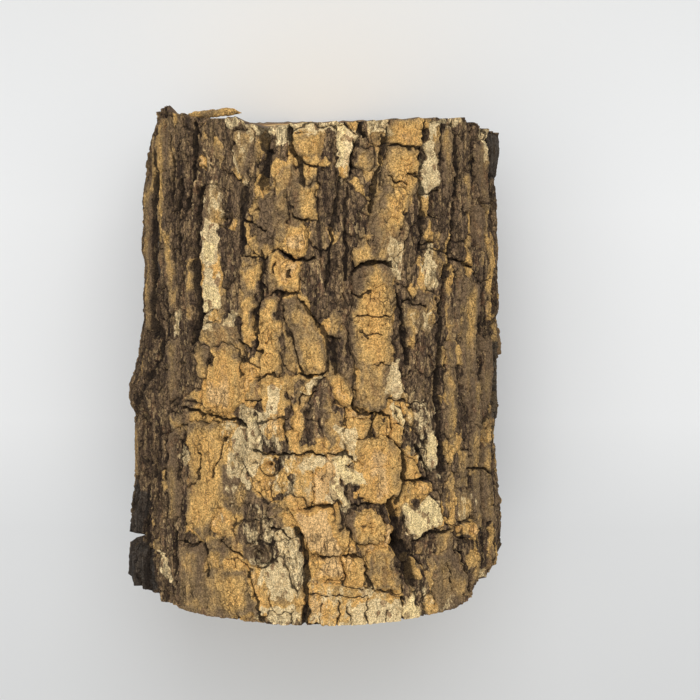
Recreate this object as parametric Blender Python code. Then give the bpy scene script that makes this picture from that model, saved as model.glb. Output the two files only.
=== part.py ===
"""A short log of thanakha wood in its bark, sawn at both ends and lying on its side.

The log lies along Y with its head end at +Y and rests on the plane z = 0. Its bark is a
relief over a slightly tapered round trunk: long ridges and fissures, raised plates, cross
cracks, knots, and ragged rims round the two sawn ends. Lengths are in millimetres until
the mesh is made, which is in metres.
"""
import math

import bmesh
import bpy
import numpy as np

MM = 0.001

# Driving dimensions in millimetres
LENGTH = 110.5
HEAD_RADIUS = 43.0
FOOT_RADIUS = 45.4
BARK_THICKNESS = 6.0
WORN_FLAT = 0.8
AXIS_X = 1.117
AXIS_Y = -1.5

# Mesh fineness
COLUMNS = 146
ROWS = 32
NARROWEST = 2.6

# Bark relief in millimetres
PLATE_BEVEL = 1.4
RIDGE_HEIGHT = 3.4
CELL_FURROW = 1.9
EDGE_RELIEF = 0.9
EDGE_WANDER = 0.9
SEED = 41

# The view from above that the outlines are drawn in: a frame of 700 by 700 pixels
FRAME_CENTRE = 350.0
FOCAL = 1500.0
EYE_X = 8.517
EYE_HEIGHT = 410.0
EYE_TILT = math.atan(229 / 1500)

MEAN_RADIUS = (HEAD_RADIUS + FOOT_RADIUS) / 2
AROUND = 2 * math.pi * MEAN_RADIUS

# Silhouette of the two sides, in pixels of that view from head to foot
LEFT_EDGE = [
    (161, 122), (154, 140), (149, 172), (143, 200), (145, 228), (142, 252), (145, 268),
    (143, 300), (144, 318), (139, 352), (136, 370), (130, 381), (128, 397), (134, 413),
    (134, 455), (134, 480), (130, 500), (131, 530), (134, 545), (135, 580),
]
RIGHT_EDGE = [
    (498, 131), (500, 150), (496, 182), (498, 200), (498, 270), (499, 312), (496, 326),
    (499, 345), (498, 385), (500, 414), (496, 424), (495, 445), (497, 475), (500, 505),
    (503, 540), (499, 558), (491, 571),
]

# Rims of the bark at the two ends, in pixels of that view from left to right
HEAD_RIM = [
    (157, 112), (161, 107), (169, 108), (174, 112), (184, 113), (193, 117), (228, 119.5),
    (246, 122), (259, 126), (300, 123), (330, 122), (360, 121), (390, 119), (440, 118), (462, 118),
    (470, 122.5), (476, 122), (482, 128.5), (488, 131), (495, 131), (500, 141),
]
FOOT_RIM = [
    (131, 590), (139, 592), (150, 590), (152, 600), (178, 603), (195, 614), (230, 617), (262, 622),
    (290, 625), (325, 628), (350, 627), (380, 625), (400, 622), (420, 618), (437, 612),
    (452, 607), (464, 602), (471, 594), (478, 582), (487, 580), (492, 577), (497, 566), (504, 545),
]

# Degrees round from the top at which each rim leaves its drawn line and turns under the log
HEAD_TURN = (98, 135)
FOOT_TURN = (85, 100)

# Raised bark plates: height over the mean surface, then the outline in pixels
PLATES = {
    "crown": (2.4, [(393, 121), (417, 120), (417, 140), (414, 149), (386, 147), (391, 128)]),
    "under_crown": (2.1, [(386, 150), (416, 152), (417, 185), (400, 196), (384, 190), (380, 178)]),
    "under_crown_column": (1.6, [(373, 196), (398, 198), (401, 262), (374, 262)]),
    "head_stub": (1.0, [(345, 121), (360, 121), (359, 136), (345, 136)]),
    "head_square": (1.6, [(293, 133), (322, 132), (323, 150), (318, 158), (300, 157), (294, 150)]),
    "head_square_lower": (1.5, [(303, 161), (322, 163), (320, 178), (303, 177)]),
    "head_wedge": (1.4, [(283, 168), (294, 166), (297, 178), (286, 198), (276, 196), (273, 185)]),
    "left_strip": (1.2, [(262, 190), (275, 192), (272, 245), (258, 240)]),
    "middle_square": (1.5, [(293, 190), (315, 192), (314, 219), (294, 216)]),
    "golden_knob": (2.0, [(288, 223), (300, 221), (310, 236), (302, 258), (295, 260), (280, 242)]),
    "small_right": (1.3, [(353, 150), (372, 152), (370, 170), (353, 168)]),
    "golden_boot": (1.8, [(267, 252), (279, 250), (288, 262), (300, 262), (299, 288), (275, 292)]),
    "left_tooth": (1.2, [(241, 254), (253, 253), (255, 265), (250, 271), (240, 260)]),
    "left_rib": (1.5, [(244, 289), (256, 290), (256, 330), (247, 344), (242, 335)]),
    "left_column": (1.5, [(263, 297), (279, 297), (278, 374), (263, 376)]),
    "golden_leaf": (2.1, [(299, 321), (313, 321), (326, 350), (327, 363), (310, 372), (290, 338)]),
    "leaf_cap": (1.3, [(284, 297), (315, 297), (315, 317), (290, 320)]),
    "right_wedge": (1.4, [(330, 312), (340, 305), (346, 315), (339, 338), (328, 337)]),
    "spine_1": (2.1, [(353, 267), (391, 267), (391, 290), (354, 290)]),
    "spine_2": (2.2, [(353, 293), (391, 293), (391, 312), (357, 313)]),
    "spine_3": (2.3, [(359, 316), (390, 316), (389, 333), (360, 333)]),
    "spine_4": (2.1, [(357, 336), (389, 336), (389, 361), (373, 362), (358, 358)]),
    "spine_5": (2.0, [(357, 364), (385, 364), (386, 398), (379, 411), (367, 412), (355, 400)]),
    "orange_drop": (1.8, [(328, 374), (340, 371), (350, 382), (352, 400), (345, 404), (336, 394)]),
    "right_rib": (1.3, [(405, 309), (418, 310), (418, 320), (412, 348), (404, 347)]),
    "great_slab": (2.2, [(218, 345), (227, 337), (238, 346), (243, 400), (225, 418), (202, 410)]),
    "slab_side": (1.3, [(198, 343), (210, 345), (208, 380), (199, 380)]),
    "slab_wedge": (1.5, [(192, 392), (201, 390), (203, 405), (189, 403)]),
    "thigh": (1.9, [(192, 424), (247, 426), (236, 470), (224, 505), (205, 540), (190, 520)]),
    "pale_block": (1.6, [(266, 380), (287, 379), (283, 418), (267, 418), (263, 404)]),
    "brown_block": (1.2, [(249, 377), (262, 376), (262, 398), (250, 397)]),
    "ringed_scale": (1.9, [(377, 418), (387, 418), (388, 431), (385, 441), (376, 441), (373, 430)]),
    "right_scale": (1.6, [(389, 424), (403, 425), (402, 445), (389, 444)]),
    "left_scale": (1.3, [(354, 418), (370, 420), (369, 440), (354, 440)]),
    "broad_scale": (2.0, [(357, 444), (385, 443), (401, 452), (399, 496), (380, 503), (353, 466)]),
    "low_scale": (1.5, [(403, 455), (413, 459), (421, 478), (402, 481)]),
    "white_blob": (2.5, [(408, 506), (428, 499), (439, 512), (439, 524), (415, 535), (405, 518)]),
    "pink_slab": (2.0, [(293, 510), (330, 502), (336, 539), (325, 553), (311, 549), (299, 528)]),
    "pink_slab_lower": (1.6, [(310, 555), (335, 556), (343, 577), (313, 577)]),
    "broad_slab": (2.2, [(350, 512), (376, 509), (386, 530), (383, 544), (354, 544), (344, 522)]),
    "foot_slab": (1.8, [(365, 551), (394, 549), (398, 592), (367, 592)]),
    "foot_left": (1.5, [(182, 545), (206, 543), (207, 600), (184, 600)]),
    "foot_small": (1.5, [(211, 549), (225, 551), (227, 567), (214, 568)]),
    "foot_smooth": (1.3, [(183, 602), (207, 569), (250, 568), (261, 615), (230, 616), (196, 612)]),
    "foot_right": (1.6, [(431, 551), (450, 549), (466, 582), (460, 604), (432, 610)]),
    "rim_pale": (1.4, [(312, 580), (336, 584), (397, 596), (400, 620), (330, 627), (309, 624)]),
    "cream_ribbon": (1.4, [(203, 194), (221, 196), (224, 240), (223, 305), (204, 312), (203, 250)]),
    "grey_cheek": (1.2, [(235, 132), (255, 131), (251, 165), (243, 175), (234, 150)]),
    "cream_fork": (1.6, [(335, 127), (361, 138), (350, 156), (345, 168), (334, 170)]),
    "grey_strip": (1.3, [(424, 120), (438, 120), (438, 178), (427, 190), (418, 192), (421, 160)]),
    "right_ribbon": (1.3, [(421, 247), (433, 246), (435, 283), (429, 291), (423, 284)]),
    "cream_spur": (1.7, [(387, 364), (397, 357), (404, 385), (396, 397), (386, 384)]),
    "right_lens": (1.4, [(473, 206), (484, 207), (482, 246), (474, 244)]),
    "right_band": (1.2, [(461, 272), (479, 285), (479, 350), (468, 420), (459, 380)]),
    "right_outer": (1.5, [(483, 335), (493, 336), (490, 400), (481, 423)]),
    "right_low": (1.3, [(469, 376), (481, 378), (481, 528), (470, 528)]),
    "dark_block": (1.4, [(489, 133), (499, 134), (499, 180), (489, 178)]),
}

# Long fissures: width and depth, then the line in pixels
FISSURES = {
    "far_left": (3.4, 3.0, [(154, 135), (157, 165), (156, 205), (153, 250), (156, 300), (153, 325)]),
    "far_left_low": (3.0, 2.6, [(164, 340), (160, 360), (154, 382), (147, 410)]),
    "left_1": (2.0, 2.4, [(195, 122), (196, 140), (192, 178), (188, 208)]),
    "left_2": (2.2, 2.6, [(199, 230), (198, 270), (201, 310), (197, 340)]),
    "head_blot": (3.0, 2.8, [(262, 124), (264, 142), (270, 155), (262, 185)]),
    "head_split": (1.8, 2.2, [(289, 128), (292, 150), (301, 163), (304, 187)]),
    "fibrous": (3.0, 1.8, [(247, 190), (244, 220), (243, 246)]),
    "inner_left": (2.2, 2.8, [(262, 250), (263, 285), (259, 318), (256, 345), (263, 350)]),
    "inner_left_2": (2.2, 2.4, [(283, 318), (282, 345), (284, 374)]),
    "valley": (5.5, 2.8, [(338, 180), (334, 215), (328, 250), (325, 290)]),
    "valley_right": (2.6, 2.6, [(345, 190), (348, 240), (350, 300)]),
    "valley_foot": (3.0, 2.8, [(333, 342), (336, 370)]),
    "crown_left": (2.2, 2.6, [(383, 130), (378, 160), (371, 190), (369, 212)]),
    "crown_right": (2.0, 2.4, [(421, 119), (417, 165), (419, 205), (418, 246)]),
    "spine_right": (1.8, 2.4, [(396, 296), (402, 325), (401, 345), (406, 360)]),
    "right_long": (2.6, 3.0, [(451, 122), (457, 165), (450, 240), (440, 300), (436, 390), (439, 470)]),
    "far_right": (2.2, 2.4, [(480, 303), (477, 325), (476, 357)]),
    "drop_left": (1.6, 2.0, [(322, 376), (321, 404)]),
    "scale_ring": (1.8, 2.2, [(370, 440), (371, 420), (378, 413), (388, 415), (390, 442)]),
    "right_low": (2.0, 2.4, [(416, 446), (428, 480)]),
    "hollow_top": (3.2, 4.0, [(390, 500), (395, 525), (398, 548)]),
    "hollow": (4.4, 5.0, [(395, 540), (406, 560), (408, 592)]),
    "foot_split": (2.4, 3.2, [(297, 530), (304, 552), (307, 580), (305, 624)]),
    "foot_right": (1.8, 2.6, [(457, 545), (462, 568), (469, 590)]),
    "recess_left": (2.6, 2.0, [(147, 480), (149, 540), (150, 585)]),
    "left_low": (2.2, 2.4, [(164, 425), (164, 500)]),
    "left_low_2": (2.0, 2.2, [(178, 530), (179, 582)]),
    "foot_crack": (1.6, 2.2, [(252, 573), (261, 612), (260, 622)]),
}

# Cross cracks: width and depth, then the line in pixels
CRACKS = {
    "great_diagonal": (1.5, 2.4, [(188, 407), (215, 420), (248, 424)]),
    "golden_shelf": (1.2, 1.8, [(280, 248), (294, 262), (313, 260)]),
    "valley_shelf": (1.4, 1.8, [(353, 266), (370, 265), (390, 266)]),
    "boot_foot": (1.0, 1.6, [(273, 295), (302, 294)]),
    "leaf_foot": (1.0, 1.8, [(300, 371), (328, 367)]),
    "crown_foot": (1.0, 1.6, [(386, 149), (416, 151)]),
    "right_step": (1.2, 1.8, [(450, 261), (472, 266), (479, 280)]),
    "foot_right_step": (1.2, 1.6, [(468, 470), (485, 470), (498, 483)]),
    "slab_foot": (1.0, 1.6, [(256, 453), (312, 449), (325, 454)]),
    "low_shelf": (1.0, 1.6, [(330, 502), (305, 505)]),
    "blob_head": (1.0, 1.6, [(403, 483), (428, 479)]),
}

# Knots: radius and height of the raised collar, depth of the eye, then the centre in pixels
KNOTS = {
    "round_knot": (2.7, 1.6, 1.0, (465, 529)),
    "foot_knot": (2.9, 1.2, 1.6, (262, 556)),
    "dark_knot": (2.6, 1.0, 2.0, (272, 465)),
    "bark_hole": (1.9, 0.9, 1.8, (226, 218)),
}

# Loose-edged flakes: radius of the outer face, how much it lifts towards the foot, then the
# outline as degrees round from the top and distance from the head
FLAKES = {
    "foot_corner": (47.6, 0.6, [(-66, 105), (-78, 103.6), (-92, 104.4), (-104, 105.5),
                                (-104, 110.4), (-92, 110.4), (-78, 110.4), (-67, 110)]),
    "left_plate": (46.4, 1.6, [(-77, 91), (-84, 88), (-95, 89.5), (-99, 95), (-92, 101), (-80, 101.5)]),
    "right_flake": (43.9, 0.4, [(76, 56), (86, 53.5), (94, 57), (98, 65), (91, 73), (79, 71)]),
}

# The splinter that hangs on the head rim: from its root to its tip, in pixels
SPLINTER = [(188, 113), (208, 111), (226, 110), (239, 111)]
SPLINTER_WIDTH = 2.2
SPLINTER_DEPTH = 1.8
SPLINTER_TAPER = 0.22
SPLINTER_LEVEL = 1.2
SPLINTER_GRIP = 4.0


def trunk_radius(along):
    """Mean radius of the trunk at a distance from the head."""
    return HEAD_RADIUS + (FOOT_RADIUS - HEAD_RADIUS) * np.clip(along / LENGTH, 0, 1)


def axis_height(along):
    """Height of the trunk's axis, which lets the underside touch the plane all along."""
    return trunk_radius(along) - WORN_FLAT


def sight_line(pixels):
    """Direction of the lines of sight through some pixels of the view."""
    pixels = np.asarray(pixels, float)
    right = (pixels[:, 0] - FRAME_CENTRE) / FOCAL
    up = (FRAME_CENTRE - pixels[:, 1]) / FOCAL
    cos, sin = math.cos(EYE_TILT), math.sin(EYE_TILT)
    return right, up * cos - sin, -up * sin - cos


def on_bark(pixels):
    """Arc length round the trunk from its top, and distance from the head, of some pixels."""
    right, back, down = sight_line(pixels)
    along = np.full(len(right), LENGTH / 2)
    for _ in range(4):
        offset, drop = EYE_X - AXIS_X, EYE_HEIGHT - axis_height(along)
        a = right ** 2 + down ** 2
        b = right * offset + down * drop
        c = offset ** 2 + drop ** 2 - trunk_radius(along) ** 2
        reach = (-b - np.sqrt(np.maximum(b ** 2 - a * c, 0))) / a
        along = -back * reach
    x, z = offset + right * reach, drop + down * reach
    return np.arctan2(x, z) * MEAN_RADIUS, along


def silhouette(pixels):
    """Distance from the head, and distance from the axis, of lines of sight that graze the side."""
    right, back, down = sight_line(pixels)
    _, along = on_bark(pixels)
    offset, drop = EYE_X - AXIS_X, EYE_HEIGHT - axis_height(along)
    return along, np.abs(offset * down - drop * right) / np.hypot(right, down)


def lattice_noise(across, along, cell_across, cell_along, seed):
    """Smooth seeded noise from 0 to 1 that closes on itself round the trunk."""
    turns = max(3, round(AROUND / cell_across))
    rows = math.ceil(1.5 * LENGTH / cell_along) + 3
    table = np.random.default_rng(seed).random((turns, rows))
    u = across / AROUND * turns % turns
    v = np.clip(along / cell_along + 0.2 * rows, 0, rows - 1.001)
    column, row = u.astype(int) % turns, v.astype(int)
    fu, fv = u - np.floor(u), v - row
    fu, fv = fu * fu * (3 - 2 * fu), fv * fv * (3 - 2 * fv)
    near = table[column, row] * (1 - fv) + table[column, row + 1] * fv
    after = (column + 1) % turns
    far = table[after, row] * (1 - fv) + table[after, row + 1] * fv
    return near * (1 - fu) + far * fu


def smooth_step(value, low, high):
    """Zero below low, one above high and smooth between."""
    t = np.clip((value - low) / (high - low), 0, 1)
    return t * t * (3 - 2 * t)


def to_segment(across, along, start, end):
    """Distance from each point to one straight stretch."""
    run = end - start
    length = max(float(run @ run), 1e-9)
    t = np.clip(((across - start[0]) * run[0] + (along - start[1]) * run[1]) / length, 0, 1)
    return np.hypot(across - start[0] - t * run[0], along - start[1] - t * run[1])


def to_line(across, along, pixels):
    """Distance from each point to a line of pixels laid on the bark."""
    corners = np.stack(on_bark(pixels), 1)
    stretches = zip(corners[:-1], corners[1:])
    return np.min([to_segment(across, along, start, end) for start, end in stretches], 0)


def inside_outline(across, along, pixels):
    """Distance from each point to an outline laid on the bark, positive inside it."""
    corners = np.stack(on_bark(pixels), 1)
    inside = np.zeros(len(across), bool)
    distance = np.full(len(across), 1e3)
    for start, end in zip(corners, np.roll(corners, -1, 0)):
        distance = np.minimum(distance, to_segment(across, along, start, end))
        slope = (end[0] - start[0]) / (end[1] - start[1] + 1e-9)
        crosses = (start[1] > along) != (end[1] > along)
        inside ^= crosses & (across < start[0] + (along - start[1]) * slope)
    return np.where(inside, distance, -distance)


def ridges(across, along):
    """Long rounded ridges with narrow gaps, of about 5 and 2.5 mm pitch."""
    broad = lattice_noise(across, along, 4.6, 34.0, SEED + 1)
    narrow = lattice_noise(across, along, 2.6, 17.0, SEED + 2)
    crest = 1 - np.abs(2 * broad - 1)
    return RIDGE_HEIGHT * (crest - 0.62) + 1.6 * (narrow - 0.5)


def cells(across, along):
    """Long bark plates parted by furrows, from the nearest of a jittered set of centres."""
    rng = np.random.default_rng(SEED + 3)
    turns, rows, stretch = 22, 6, 2.6
    nearest = np.full(len(across), 1e3)
    second = np.full(len(across), 1e3)
    level = np.zeros(len(across))
    for i in range(turns):
        for j in range(rows):
            centre = (i + rng.uniform(0.1, 0.9)) * AROUND / turns
            station = (j + rng.uniform(-0.1, 1.1) - 0.5 + 0.5 * (i % 2)) * LENGTH / (rows - 1)
            rise = rng.uniform(-0.5, 0.8)
            gap = (across - centre + AROUND / 2) % AROUND - AROUND / 2
            distance = np.hypot(gap, (along - station) / stretch)
            closer = distance < nearest
            second = np.where(closer, nearest, np.minimum(second, distance))
            level = np.where(closer, rise, level)
            nearest = np.where(closer, distance, nearest)
    plateau = smooth_step(second - nearest, 0.2, 3.4)
    return plateau * (level + CELL_FURROW) - CELL_FURROW


def named_relief(height, across, along):
    """The plates, fissures, cracks and knots of the bark's upper side laid over a height."""
    for rise, outline in PLATES.values():
        cover = smooth_step(inside_outline(across, along, outline), -0.5, PLATE_BEVEL)
        height = height * (1 - cover) + (rise + 0.25 * height) * cover
    for width, depth, line in [*FISSURES.values(), *CRACKS.values()]:
        reach = max(width, NARROWEST) / 2
        share = np.clip(1 - (to_line(across, along, line) / reach) ** 2, 0, 1)
        height = height - depth * min(1, width / NARROWEST) * share ** 1.5
    for radius, collar, eye, centre in KNOTS.values():
        distance = to_line(across, along, [centre, centre]) / radius
        height = height + collar * np.exp(-((distance - 1) / 0.4) ** 2)
        height = height - eye * np.exp(-(distance / 0.55) ** 2)
    return height


def bark_relief(angle, along):
    """Height of the bark over the mean trunk, in millimetres."""
    across = angle * MEAN_RADIUS
    wander = EDGE_WANDER * (lattice_noise(across, along, 5.0, 9.0, SEED + 4) - 0.5)
    drift = 2 * EDGE_WANDER * (lattice_noise(across, along, 7.0, 7.0, SEED + 5) - 0.5)
    far = smooth_step(np.abs(angle), math.radians(50), math.radians(75))
    back = smooth_step(np.abs(angle), math.radians(95), math.radians(120))
    sides = ridges(across + wander, along + drift)
    under = cells(across + 2.5 * wander, along + drift) + 0.35 * sides
    height = (0.6 * sides - 0.5) * (1 - far) + sides * far * (1 - back) + under * back
    return named_relief(height, across + wander, along + drift)


def side_swell(angle, along, edge, side):
    """Extra radius that brings one side out to its silhouette, and its weight."""
    places, reach = silhouette(edge)
    turn = angle - side * math.radians(83)
    extra = np.interp(along, places, reach) - EDGE_RELIEF - trunk_radius(along)
    return extra * np.exp(-(turn / math.radians(24)) ** 2), np.exp(-(turn / math.radians(9)) ** 2)


def bark_radius(angle, along):
    """Radius of the bark's surface."""
    left, at_left = side_swell(angle, along, LEFT_EDGE, -1)
    right, at_right = side_swell(angle, along, RIGHT_EDGE, 1)
    calm = 1 - 0.45 * (at_left + at_right)
    worn = 1 - 0.4 * smooth_step(np.abs(angle), math.radians(160), math.radians(172))
    return trunk_radius(along) + left + right + bark_relief(angle, along) * calm * worn


def rim(angle, pixels, seed):
    """Distance from the head at which the bark ends, all round one end of the log."""
    across, along = on_bark(pixels)
    order = np.argsort(across)
    seen = np.interp(angle * MEAN_RADIUS, across[order], along[order])
    flat, turn = (0.0, HEAD_TURN) if pixels is HEAD_RIM else (LENGTH, FOOT_TURN)
    chips = 1.6 * (lattice_noise(angle * MEAN_RADIUS, 0 * angle, 6.0, 20.0, seed) - 0.3)
    hidden = smooth_step(np.abs(angle), *np.radians(turn))
    inward = flat + chips if flat == 0 else flat - chips
    return seen * (1 - hidden) + inward * hidden


def place(angle, radius, along):
    """Point of the log in metres, kept above the plane that it rests on."""
    x = AXIS_X + radius * np.sin(angle)
    z = axis_height(along) + radius * np.cos(angle)
    y = AXIS_Y + LENGTH / 2 - along
    return np.stack([x, y + 0 * x, np.maximum(z, 0)], -1) * MM


def bark_grid():
    """Points of the bark's surface, one list for each row from head to foot."""
    angle = np.linspace(-math.pi, math.pi, COLUMNS, endpoint=False)
    head = rim(angle, HEAD_RIM, SEED + 6)
    foot = np.minimum(rim(angle, FOOT_RIM, SEED + 7), LENGTH)
    rows = []
    for share in np.linspace(0, 1, ROWS + 1):
        along = head + (foot - head) * share
        rows.append(place(angle, bark_radius(angle, along), along))
    return rows


def wood_ring(along):
    """The edge of the sawn wood, inside the bark, on the plane of one end."""
    angle = np.linspace(-math.pi, math.pi, COLUMNS, endpoint=False)
    wave = 1.2 * (lattice_noise(angle * MEAN_RADIUS, 0 * angle, 14.0, 20.0, SEED + 8) - 0.5)
    return place(angle, trunk_radius(along) - BARK_THICKNESS + wave, along + 0 * angle)


def material(name, colour, roughness):
    """A plain finish."""
    finish = bpy.data.materials.new(name)
    finish.use_nodes = True
    surface = finish.node_tree.nodes["Principled BSDF"]
    surface.inputs["Base Color"].default_value = (*colour, 1)
    surface.inputs["Roughness"].default_value = roughness
    surface.inputs["Metallic"].default_value = 0.0
    finish.diffuse_color = (*colour, 1)
    return finish


def make_object(name, points, faces, finishes):
    """A mesh object with its faces turned outward."""
    mesh = bpy.data.meshes.new(name)
    mesh.from_pydata([tuple(p) for p in points], [], faces)
    shell = bmesh.new()
    shell.from_mesh(mesh)
    bmesh.ops.recalc_face_normals(shell, faces=shell.faces)
    shell.to_mesh(mesh)
    shell.free()
    for finish in finishes:
        mesh.materials.append(finish)
    mesh.shade_smooth()
    mesh.set_sharp_from_angle(angle=math.radians(50))
    thing = bpy.data.objects.new(name, mesh)
    bpy.context.scene.collection.objects.link(thing)
    return thing


def make_log(bark, wood):
    """The trunk with its bark, closed by the two sawn faces."""
    rings = [wood_ring(0.0), *bark_grid(), wood_ring(LENGTH)]
    points = np.concatenate(rings)
    faces = []
    for row in range(len(rings) - 1):
        for i in range(COLUMNS):
            j = (i + 1) % COLUMNS
            low, high = row * COLUMNS, (row + 1) * COLUMNS
            faces.append((low + i, low + j, high + j, high + i))
    last = (len(rings) - 1) * COLUMNS
    faces.append(tuple(range(COLUMNS)))
    faces.append(tuple(last + i for i in reversed(range(COLUMNS))))
    log = make_object("log", points, faces, [bark, wood])
    for face in log.data.polygons:
        face.material_index = int(len(face.vertices) > 4)
    return log


def make_flake(name, radius, lift, outline, bark):
    """A thick flake that stands proud of the bark, with its root sunk in it."""
    degrees, along = np.array(outline, float).T
    angle = np.radians(degrees)
    outer = place(angle, radius + lift * (along - along.mean()) / np.ptp(along), along)
    inner = place(angle, trunk_radius(along) - BARK_THICKNESS, along)
    count = len(outline)
    faces = [tuple(range(count)), tuple(count + i for i in reversed(range(count)))]
    faces += [(i, count + i, count + (i + 1) % count, (i + 1) % count) for i in range(count)]
    return make_object(name, np.concatenate([outer, inner]), faces, [bark])


def make_splinter(bark):
    """A tapering sliver that springs from the head rim and runs across it."""
    across, along = on_bark(SPLINTER)
    rings = []
    for index, (a, s) in enumerate(zip(across, along)):
        taper = 1 - SPLINTER_TAPER * index
        half, deep = taper * SPLINTER_WIDTH / 2, taper * SPLINTER_DEPTH
        root = s + half + max(0, SPLINTER_GRIP * (1 - index / 2))
        outer = HEAD_RADIUS - SPLINTER_LEVEL
        sides = [(outer, s - half), (outer, root), (outer - deep, root), (outer - deep, s - half)]
        angle = np.full(4, a / MEAN_RADIUS)
        rings.append(place(angle, *np.array(sides).T))
    faces = [(0, 1, 2, 3)]
    for low in range(0, 4 * len(SPLINTER) - 4, 4):
        for i in range(4):
            j = (i + 1) % 4
            faces.append((low + i, low + j, low + 4 + j, low + 4 + i))
    end = 4 * len(SPLINTER) - 4
    faces.append((end, end + 1, end + 2, end + 3))
    return make_object("splinter", np.concatenate(rings), faces, [bark])


def join_to(log, extras):
    """Fuses the extras into the log with one union, and removes them."""
    group = bpy.data.collections.new("extras")
    bpy.context.scene.collection.children.link(group)
    for extra in extras:
        group.objects.link(extra)
    union = log.modifiers.new("grown_together", "BOOLEAN")
    union.operation = "UNION"
    union.operand_type = "COLLECTION"
    union.collection = group
    bpy.context.view_layer.objects.active = log
    bpy.ops.object.modifier_apply(modifier=union.name)
    for extra in extras:
        bpy.data.objects.remove(extra)
    bpy.data.collections.remove(group)


def main():
    for thing in list(bpy.data.objects):
        bpy.data.objects.remove(thing)
    bark = material("thanakha_bark", (0.36, 0.22, 0.10), 0.9)
    wood = material("sawn_thanakha_wood", (0.72, 0.55, 0.31), 0.75)
    log = make_log(bark, wood)
    extras = [make_flake(name, *flake, bark) for name, flake in FLAKES.items()]
    extras.append(make_splinter(bark))
    join_to(log, extras)


main()
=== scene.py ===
"""The looks of the thanakha log: its bark and sawn ends, a pale floor, soft light and the view from above.

The bark is one relief laid over the frame's trunk, made here at a finer grain. The same
outlines give the shape of each plate and crack and the place of its colour. Lengths are in
millimetres until a mesh is made, which is in metres.
"""
import math

import bpy
import numpy as np
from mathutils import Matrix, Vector


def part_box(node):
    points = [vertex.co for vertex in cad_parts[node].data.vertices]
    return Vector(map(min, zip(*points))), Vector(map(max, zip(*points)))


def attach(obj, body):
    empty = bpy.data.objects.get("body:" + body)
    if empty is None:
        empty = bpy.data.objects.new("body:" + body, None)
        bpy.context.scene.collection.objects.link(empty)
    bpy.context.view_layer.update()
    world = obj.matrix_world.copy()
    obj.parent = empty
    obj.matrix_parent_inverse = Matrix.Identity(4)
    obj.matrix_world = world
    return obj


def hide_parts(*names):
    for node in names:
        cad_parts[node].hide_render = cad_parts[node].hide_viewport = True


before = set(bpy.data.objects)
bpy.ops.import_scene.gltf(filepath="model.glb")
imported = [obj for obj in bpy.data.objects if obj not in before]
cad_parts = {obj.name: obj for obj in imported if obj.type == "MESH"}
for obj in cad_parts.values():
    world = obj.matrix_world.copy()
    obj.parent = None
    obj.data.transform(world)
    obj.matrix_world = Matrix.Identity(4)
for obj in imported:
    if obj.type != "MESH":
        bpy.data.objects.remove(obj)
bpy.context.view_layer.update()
MM = 0.001

# Driving dimensions in millimetres, as in the frame
LOW = np.array(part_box("log")[0]) / MM
LENGTH = 110.5
HEAD_RADIUS = 43.0
FOOT_RADIUS = 45.4
BARK_THICKNESS = 6.0
WORN_FLAT = 0.8
AXIS_X = 1.117
HEAD_Y = LOW[1] + LENGTH
HEAD_SET_BACK = 0.6
HEAD_LEAN = -0.042
HEAD_CHIP = 3.4
MEAN_RADIUS = (HEAD_RADIUS + FOOT_RADIUS) / 2
AROUND = 2 * math.pi * MEAN_RADIUS

# Sawn ends: where the head is chipped, how far the bark's inner line sways, middle of the growth rings
CHIPPED_SIDE = (22, 38)
END_WAVE = 1.2
PITH = (3, 2)

# Share of its flat map that each millimetre of a sawn end takes
END_MAP = 0.0098

# Mesh fineness: long strips of bark, and rings on each sawn end
STRIPS = {"log_bark_left": (-92, -46, 198), "log_bark_top_left": (-46, 0, 198),
          "log_bark_top_right": (0, 46, 198), "log_bark_right": (46, 92, 198),
          "log_bark_under": (92, 268, 96)}
ROWS = 500
WOOD_RINGS = 14
BARK_RINGS = 12

# Bark relief in millimetres
PLATE_BEVEL = 0.5
PLATE_LEVEL = 0.75
RIDGE_HEIGHT = 3.4
SIDE_RELIEF = 0.95
CELL_FURROW = 1.9
FISSURE_WIDTH = 0.8
FISSURE_DEPTH = 0.62
EDGE_RELIEF = 0.9
EDGE_WANDER = 0.9
RAGGED = 0.55
RIM_CHIPS = 0.9
RIM_NICKS = 0.7

# How strongly the thin weathered fields and the bared spots are marked, against one for a pale patch
FAINT_LEVEL = 0.44
BARED_LEVEL = 2.0

# Start of every seeded draw
SEED = 41

# Scales of the ground: size across and along, and seed
SCALES = (5.4, 9.0, SEED + 30)
BLADES = (2.5, 22.0, SEED + 32)
CHIPS = (2.1, 4.2, SEED + 31)
THREADS = (1.25, 9.0, SEED + 36)

# Degrees round from the top between which the bark turns to side, to underside and to worn bark
SIDE_TURN = (42, 66)
BACK_TURN = (95, 120)
WORN_TURN = (160, 172)

# Where the sides reach furthest out, and how many degrees that swelling spreads
SWELL_AT = 83
SWELL_SPREAD = 24
SWELL_CALM = 9

# Light: strength, and place and size in metres
ROOM_LIGHT = 0.58
WINDOW_WATTS = 2.4
WINDOW_AT = (0.05, 0.4, 0.62)
WINDOW_SIZE = 0.5
CEILING_WATTS = 1.85
CEILING_AT = (-0.3, 0.0, 1.1)
CEILING_SIZE = 0.8

# Floor: its size in metres, and its painted light and shade from front to back over a length, lighter in
# the middle and darker towards both ends
FLOOR_SIZE = 6
FLOOR_SPAN = 0.24
FLOOR_PAINTED_SHADE = [(0.06, 0.72), (0.25, 0.76), (0.38, 0.87), (0.62, 0.88), (0.85, 0.775), (1.0, 0.745)]

# The view from above that the outlines are drawn in: a frame of 700 by 700 pixels
FRAME_SIZE = 700
FRAME_CENTRE = FRAME_SIZE / 2
FOCAL = 1500.0
EYE_X = 8.517
EYE_HEIGHT = 410.0
EYE_TILT = math.atan(229 / FOCAL)

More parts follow.
